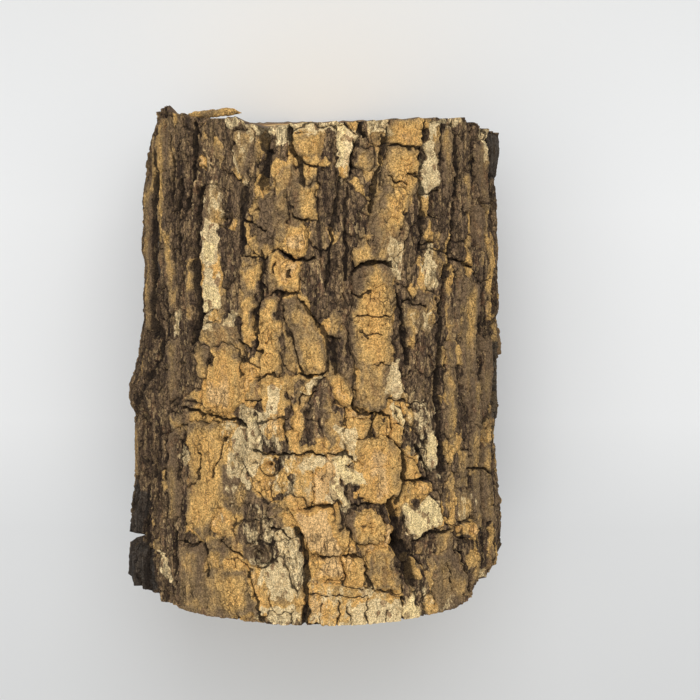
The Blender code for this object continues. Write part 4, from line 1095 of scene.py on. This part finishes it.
class Nodes:
    """Short calls that add shader nodes to one material."""

    def __init__(self, name):
        self.material = bpy.data.materials.new(name)
        self.material.use_nodes = True
        self.tree = self.material.node_tree
        self.surface = self.tree.nodes["Principled BSDF"]

    def put(self, socket, value):
        """Links a socket to another one, or sets it to a plain value."""
        if isinstance(value, bpy.types.NodeSocket):
            self.tree.links.new(value, socket)
        else:
            socket.default_value = value

    def field(self, name):
        """One of the fields stored at the points of the mesh."""
        node = self.tree.nodes.new("ShaderNodeAttribute")
        node.attribute_name = name
        return node.outputs["Fac"]

    def position(self, scale):
        """Place on the log in metres, scaled along each axis."""
        coordinates = self.tree.nodes.new("ShaderNodeTexCoord")
        mapping = self.tree.nodes.new("ShaderNodeMapping")
        mapping.inputs["Scale"].default_value = scale
        self.tree.links.new(coordinates.outputs["Object"], mapping.inputs["Vector"])
        return mapping.outputs["Vector"]

    def noise(self, scale, detail=4.0, roughness=0.55):
        """Soft noise of one scale."""
        node = self.tree.nodes.new("ShaderNodeTexNoise")
        self.put(node.inputs["Vector"], self.position(scale))
        node.inputs["Scale"].default_value = 1.0
        node.inputs["Detail"].default_value = detail
        node.inputs["Roughness"].default_value = roughness
        return node.outputs["Fac"]

    def bent(self, scale, bend, bend_scale):
        """Place on the log, scaled and then bent by a noise."""
        node = self.tree.nodes.new("ShaderNodeTexNoise")
        self.put(node.inputs["Vector"], self.position(bend_scale))
        node.inputs["Scale"].default_value = 1.0
        node.inputs["Detail"].default_value = 2.0
        push = self.tree.nodes.new("ShaderNodeVectorMath")
        push.operation = "MULTIPLY_ADD"
        self.put(push.inputs[0], node.outputs["Color"])
        push.inputs[1].default_value = (bend, bend, bend)
        self.put(push.inputs[2], self.position(scale))
        return push.outputs["Vector"]

    def grains(self, scale, bend=0.6, bend_scale=(900, 500, 900)):
        """A number for each small grain of the surface."""
        node = self.tree.nodes.new("ShaderNodeTexVoronoi")
        self.put(node.inputs["Vector"], self.bent(scale, bend, bend_scale))
        node.inputs["Scale"].default_value = 1.0
        parts = self.tree.nodes.new("ShaderNodeSeparateColor")
        self.put(parts.inputs["Color"], node.outputs["Color"])
        return parts.outputs["Red"]

    def seams(self, scale, width, bend=1.2, bend_scale=(500, 300, 500)):
        """One along the seams between small grains, zero inside them."""
        node = self.tree.nodes.new("ShaderNodeTexVoronoi")
        node.feature = "DISTANCE_TO_EDGE"
        self.put(node.inputs["Vector"], self.bent(scale, bend, bend_scale))
        node.inputs["Scale"].default_value = 1.0
        return self.away(self.step(node.outputs["Distance"], 0.0, width))

    def math(self, operation, first, second=0.0, third=0.0):
        """One sum on numbers or sockets."""
        node = self.tree.nodes.new("ShaderNodeMath")
        node.operation = operation
        for socket, value in zip(node.inputs, (first, second, third)):
            self.put(socket, value)
        return node.outputs[0]

    def step(self, value, low, high):
        """Zero below low, one above high and smooth between."""
        node = self.tree.nodes.new("ShaderNodeMapRange")
        node.interpolation_type = "SMOOTHSTEP"
        self.put(node.inputs["Value"], value)
        node.inputs["From Min"].default_value = low
        node.inputs["From Max"].default_value = high
        return node.outputs["Result"]

    def times(self, first, second):
        """Two values multiplied."""
        return self.math("MULTIPLY", first, second)

    def plus(self, value, factor, base):
        """A value times a factor, added to a base."""
        return self.math("MULTIPLY_ADD", value, factor, base)

    def sway(self, noise, size, base):
        """A base that a noise moves up and down."""
        return self.plus(self.math("SUBTRACT", noise, 0.5), size, base)

    def away(self, value):
        """One less a value."""
        return self.math("SUBTRACT", 1.0, value)

    def shaded(self, colour, value, shades, share=1.0):
        """A colour multiplied by the shade of a value."""
        return self.mix(share, colour, self.mix(1.0, colour, self.ramp(value, shades), "MULTIPLY"))

    def ramp(self, value, stops):
        """The colour of a value between some stops."""
        node = self.tree.nodes.new("ShaderNodeValToRGB")
        elements = node.color_ramp.elements
        while len(elements) < len(stops):
            elements.new(0.5)
        for element, (position, colour) in zip(elements, stops):
            element.position = position
            element.color = (*colour, 1)
        self.put(node.inputs["Fac"], value)
        return node.outputs["Color"]

    def mix(self, share, first, second, mode="MIX"):
        """Two colours mixed by a share."""
        node = self.tree.nodes.new("ShaderNodeMix")
        node.data_type = "RGBA"
        node.blend_type = mode
        self.put(node.inputs["Factor"], share)
        for socket, value in zip([s for s in node.inputs if s.type == "RGBA"], (first, second)):
            self.put(socket, value if isinstance(value, bpy.types.NodeSocket) else (*value, 1))
        return next(s for s in node.outputs if s.type == "RGBA")

    def bump(self, height, distance, strength=1.0, below=None):
        """A surface direction bent by a fine height."""
        node = self.tree.nodes.new("ShaderNodeBump")
        node.inputs["Strength"].default_value = strength
        node.inputs["Distance"].default_value = distance
        self.put(node.inputs["Height"], height)
        if below is not None:
            self.put(node.inputs["Normal"], below)
        return node.outputs["Normal"]


def rgb(red, green, blue):
    """A colour as seen, from 0 to 255, as a linear one."""
    return tuple(((c / 255 + 0.055) / 1.055) ** 2.4 for c in (red, green, blue))


# Colours of the log as seen
# Nearly black bark, also the colour of the painted shade in the hollows and in the far left gully
BLACK_BARK_AND_SHADE = rgb(46, 37, 29)
FIBRE_DARK = rgb(86, 69, 55)
RIDGE_BROWN = rgb(119, 98, 74)
OLIVE_BARK = rgb(148, 123, 86)
GOLD_BARK = rgb(216, 174, 106)
ORANGE_BARK = rgb(216, 168, 98)
PINK_BARK = rgb(226, 186, 128)
CREAM = rgb(242, 218, 168)
BARED = rgb(255, 230, 170)
PALE_GREY = rgb(210, 181, 130)
SLATE_GREY = rgb(80, 77, 73)
RED_BROWN = rgb(104, 62, 40)
WOOD_PALE = rgb(222, 192, 136)
WOOD_RING = rgb(198, 158, 102)
INNER_BARK = rgb(128, 94, 60)

# Shades that the fine grain multiplies the colour by, from its lowest to its highest value
STRAND_SHADES = [(0.0, (0.66, 0.65, 0.64)), (0.5, (0.98, 0.98, 0.98)), (1.0, (1.32, 1.31, 1.29))]
DUST_SHADES = [(0.0, (0.88, 0.87, 0.86)), (0.5, (1, 1, 1)), (1.0, (1.13, 1.13, 1.12))]
SAND_SHADES = [(0.36, (0.76, 0.74, 0.72)), (0.5, (1, 1, 1)), (0.64, (1.22, 1.21, 1.2))]
MOTE_SHADES = [(0.0, (0.5, 0.49, 0.47)), (0.5, (1, 1, 1)), (1.0, (1.4, 1.39, 1.37))]


class BarkNodes(Nodes):
    """Dry fissured bark: brown fibres, tan plates, pale weathered patches and dark cracks."""

    def __init__(self):
        super().__init__("fissured_bark")
        self.fibre = self.noise((800, 80, 800), 6, 0.6)
        self.blotch = self.noise((150, 90, 150), 4)
        self.crumb = self.noise((640, 290, 640), 4, 0.65)
        self.grit = self.noise((3400, 2900, 3400), 2, 0.8)
        self.strand = self.grains((1150, 150, 1150), 0.5)
        self.grain = self.grains((2300, 1900, 2300), 0.8)
        self.fleck = self.grains((2500, 900, 2500), 1.3, (1700, 800, 1700))
        self.speck = self.grains((4600, 4200, 4600), 0.3)
        self.height, self.pale = self.field("height"), self.field("pale")
        self.slate, self.crack = self.field("slate"), self.field("crack")
        self.worn = self.step(self.sway(self.crumb, 1.3, self.field("plate")), 0.35, 0.65)
        self.patch = self.times(self.step(self.sway(self.crumb, 2.0, self.pale), 0.4, 0.65), 0.9)
        gate = self.step(self.plus(self.worn, -0.16, self.blotch), 0.36, 0.46)
        self.hair = self.times(self.seams((700, 330, 700), 0.1), gate)

    def fibres(self):
        """Brown fibres, darker where the bark is low, as painted shade in the hollows."""
        # The bark's height moves the fibres towards black in the hollows: painted shade
        level = self.sway(self.strand, 0.25, self.plus(self.height, 0.1, 0.42))
        return self.ramp(self.sway(self.fibre, 1.3, level), [
            (0.1, BLACK_BARK_AND_SHADE), (0.32, FIBRE_DARK), (0.58, RIDGE_BROWN), (0.85, OLIVE_BARK)])

    def plates(self):
        """Plates from brown and olive to gold, orange and pink."""
        tone = self.sway(self.crumb, 0.6, self.sway(self.blotch, 1.1, self.field("tone")))
        return self.ramp(tone, [(0.0, RIDGE_BROWN), (0.24, OLIVE_BARK), (0.52, GOLD_BARK),
                                (0.78, ORANGE_BARK), (1.0, PINK_BARK)])

    def skin(self):
        """Fibres and plates together, red brown in places."""
        colour = self.mix(self.worn, self.fibres(), self.plates())
        ruddy = self.step(self.math("SUBTRACT", self.crumb, self.times(self.blotch, 0.5)), 0.3, 0.42)
        return self.mix(self.times(ruddy, 0.4), colour, RED_BROWN)

    def cream(self):
        """The weathered patches: grey and cream, bared in places, with red brown spots and pits."""
        colour = self.ramp(self.sway(self.grain, 0.2, self.blotch), [(0.32, PALE_GREY), (0.5, CREAM)])
        bared = self.times(self.step(self.pale, 1.0, 1.7), self.step(self.crumb, 0.32, 0.46))
        colour = self.mix(bared, colour, BARED)
        spot = self.step(self.grains((900, 700, 900), 0.9), 0.8, 0.86)
        spot = self.times(spot, self.step(self.blotch, 0.4, 0.55))
        colour = self.mix(self.times(spot, 0.75), colour, RED_BROWN)
        return self.mix(self.times(self.step(self.grit, 0.56, 0.62), 0.5), colour, RIDGE_BROWN)

    def weathered(self, colour):
        """Adds the pale patches, thin pale flakes, and the slate-coloured bark with its painted shadow at
        the gully and the right flake.
        """
        colour = self.mix(self.patch, colour, self.cream())
        flake = self.step(self.math("SUBTRACT", self.crumb, self.times(self.fibre, 0.3)), 0.44, 0.52)
        colour = self.mix(self.times(flake, 0.26), colour, PALE_GREY)
        # Slate bark, and painted shadow at the far left gully and the right flake
        slate = self.ramp(self.fibre, [(0.3, BLACK_BARK_AND_SHADE), (0.7, SLATE_GREY)])
        return self.mix(self.times(self.slate, 0.85), colour, slate)

    def cracked(self, colour):
        """Blackens the sunken bark as painted shade in the hollows, and blackens the cracks and the hair
        cracks.
        """
        # Painted shade: the deeper the bark lies, the nearer it is mixed to black
        sunk = self.step(self.times(self.height, -1.0), 0.3, 3.0)
        colour = self.mix(self.times(sunk, 0.3), colour, BLACK_BARK_AND_SHADE)
        split = self.step(self.sway(self.grit, 0.6, self.crack), 0.36, 0.56)
        colour = self.mix(self.times(split, 0.86), colour, BLACK_BARK_AND_SHADE)
        hair = self.times(self.hair, self.plus(self.patch, -0.8, 1.0))
        return self.mix(self.times(hair, 0.6), colour, BLACK_BARK_AND_SHADE)

    def flecked(self, colour):
        """Adds light and dark flecks, most of them on the fibres."""
        rough = self.plus(self.worn, -0.8, 1.0)
        rough = self.times(rough, self.away(self.math("MAXIMUM", self.slate, self.crack)))
        light = self.times(self.times(self.step(self.fleck, 0.8, 0.87), rough), 0.42)
        pale = self.mix(self.step(self.blotch, 0.4, 0.55), PALE_GREY, OLIVE_BARK)
        colour = self.mix(light, colour, pale)
        dark = self.times(self.away(self.step(self.fleck, 0.2, 0.28)), self.plus(rough, 0.5, 0.08))
        return self.mix(dark, colour, BLACK_BARK_AND_SHADE)

    def dusted(self, colour):
        """Varies the lightness from strand to strand and from grain to grain."""
        colour = self.shaded(colour, self.strand, STRAND_SHADES, self.plus(self.worn, -0.75, 1.0))
        colour = self.shaded(colour, self.grain, DUST_SHADES, self.plus(self.patch, -0.6, 1.0))
        colour = self.shaded(colour, self.grit, SAND_SHADES)
        return self.shaded(colour, self.speck, MOTE_SHADES)


def bark_material():
    """The bark's colours in their order, and its finest relief."""
    m = BarkNodes()
    m.put(m.surface.inputs["Base Color"], m.dusted(m.flecked(m.cracked(m.weathered(m.skin())))))
    m.surface.inputs["Roughness"].default_value = 0.9
    m.surface.inputs["Specular IOR Level"].default_value = 0.2
    coarse = m.bump(m.plus(m.hair, -0.6, m.fibre), 0.0004, 0.7)
    m.put(m.surface.inputs["Normal"], m.bump(m.grit, 0.0003, 0.8, coarse))
    return m.material


def end_material():
    """Sawn end: pale wood with faint growth rings, dark pores and saw marks, then the brown bark ring."""
    m = Nodes("sawn_end")
    share = m.field("bark_share")
    coordinates = m.tree.nodes.new("ShaderNodeTexCoord")
    shift = m.tree.nodes.new("ShaderNodeMapping")
    shift.inputs["Location"].default_value = (
        -(AXIS_X + PITH[0]) * MM, 0, -(MEAN_RADIUS + PITH[1]) * MM)
    shift.inputs["Scale"].default_value = (1, 0, 1)
    m.put(shift.inputs["Vector"], coordinates.outputs["Object"])
    rings = m.tree.nodes.new("ShaderNodeTexWave")
    rings.wave_type = "RINGS"
    rings.rings_direction = "SPHERICAL"
    m.put(rings.inputs["Vector"], shift.outputs["Vector"])
    rings.inputs["Scale"].default_value = 170
    rings.inputs["Distortion"].default_value = 4.5
    rings.inputs["Detail"].default_value = 3
    rings.inputs["Detail Scale"].default_value = 0.3
    grime = m.noise((90, 90, 90), 5)
    pores = m.noise((1600, 1600, 1600), 2)
    saw = m.noise((60, 60, 1400), 2)
    ring = m.times(rings.outputs["Fac"], m.step(grime, 0.3, 0.6))
    wood = m.mix(m.times(ring, 0.5), WOOD_PALE, WOOD_RING)
    wood = m.mix(m.times(m.step(grime, 0.45, 0.75), 0.4), wood, WOOD_RING)
    wood = m.mix(m.times(m.step(pores, 0.6, 0.7), 0.35), wood, INNER_BARK)
    wood = m.mix(m.times(m.step(saw, 0.52, 0.62), 0.15), wood, CREAM)
    skin = m.ramp(m.sway(grime, 0.5, share), [
        (0.02, WOOD_RING), (0.16, INNER_BARK), (0.55, RIDGE_BROWN), (0.85, FIBRE_DARK)])
    chalk = m.step(m.noise((500, 500, 500), 4, 0.65), 0.5, 0.6)
    skin = m.mix(m.times(chalk, 0.28), skin, PALE_GREY)
    colour = m.mix(m.step(share, 0.005, 0.06), wood, skin)
    m.put(m.surface.inputs["Base Color"], colour)
    m.surface.inputs["Roughness"].default_value = 0.8
    m.surface.inputs["Specular IOR Level"].default_value = 0.25
    m.put(m.surface.inputs["Normal"], m.bump(saw, 0.0002, 0.6, m.bump(pores, 0.0002, 0.5)))
    return m.material


def make_floor():
    """A wide pale floor under the log, with painted light and shade: lighter in the middle, darker towards
    front and back.
    """
    m = Nodes("pale_floor")
    parts = m.tree.nodes.new("ShaderNodeSeparateXYZ")
    m.put(parts.inputs["Vector"], m.position((1, 1, 1)))
    # Painted light and shade: the floor's colour is lightest in the middle and falls off towards front and
    # back
    depth = m.plus(parts.outputs["Y"], 1 / FLOOR_SPAN, 0.5)
    shade = m.ramp(depth, [(level, (red, red + 0.01, red + 0.012)) for level, red in FLOOR_PAINTED_SHADE])
    m.put(m.surface.inputs["Base Color"], shade)
    m.surface.inputs["Roughness"].default_value = 0.7
    bpy.ops.mesh.primitive_plane_add(size=FLOOR_SIZE)
    floor = bpy.context.object
    floor.name = "floor"
    floor.data.materials.append(m.material)


def make_light(name, position, size, power):
    """One square soft light that points at the middle of the log."""
    data = bpy.data.lights.new(name, "AREA")
    data.size = size
    data.energy = power
    light = bpy.data.objects.new(name, data)
    light.location = position
    aim = np.array([0, 0, MEAN_RADIUS * MM]) - np.array(position)
    light.rotation_euler = Vector(aim).to_track_quat("-Z", "Y").to_euler()
    bpy.context.scene.collection.objects.link(light)


def make_studio():
    """Even light from the room, and soft lamps above, a little towards the head."""
    world = bpy.data.worlds.new("room")
    world.use_nodes = True
    world.node_tree.nodes["Background"].inputs["Color"].default_value = (1, 1, 1, 1)
    world.node_tree.nodes["Background"].inputs["Strength"].default_value = ROOM_LIGHT
    bpy.context.scene.world = world
    make_light("window", WINDOW_AT, WINDOW_SIZE, WINDOW_WATTS)
    make_light("ceiling", CEILING_AT, CEILING_SIZE, CEILING_WATTS)
    bpy.context.scene.view_settings.view_transform = "Standard"


def make_camera():
    """The view from above, over the head end, tilted a little towards the foot."""
    data = bpy.data.cameras.new("camera")
    data.sensor_width = 36
    data.lens = FOCAL / FRAME_SIZE * data.sensor_width
    camera = bpy.data.objects.new("camera", data)
    camera.location = np.array([EYE_X, HEAD_Y, EYE_HEIGHT]) * MM
    camera.rotation_euler = (-EYE_TILT, 0, 0)
    bpy.context.scene.collection.objects.link(camera)
    bpy.context.scene.camera = camera


def main():
    """Builds the log in its setting."""
    make_camera()
    bark, wood = bark_material(), end_material()
    for name, (start, end, columns) in STRIPS.items():
        make_strip(name, start, end, columns, bark)
    make_end("log_head_end", True, wood)
    make_end("log_foot_end", False, wood)
    make_splinter(bark)
    make_floor()
    make_studio()


main()
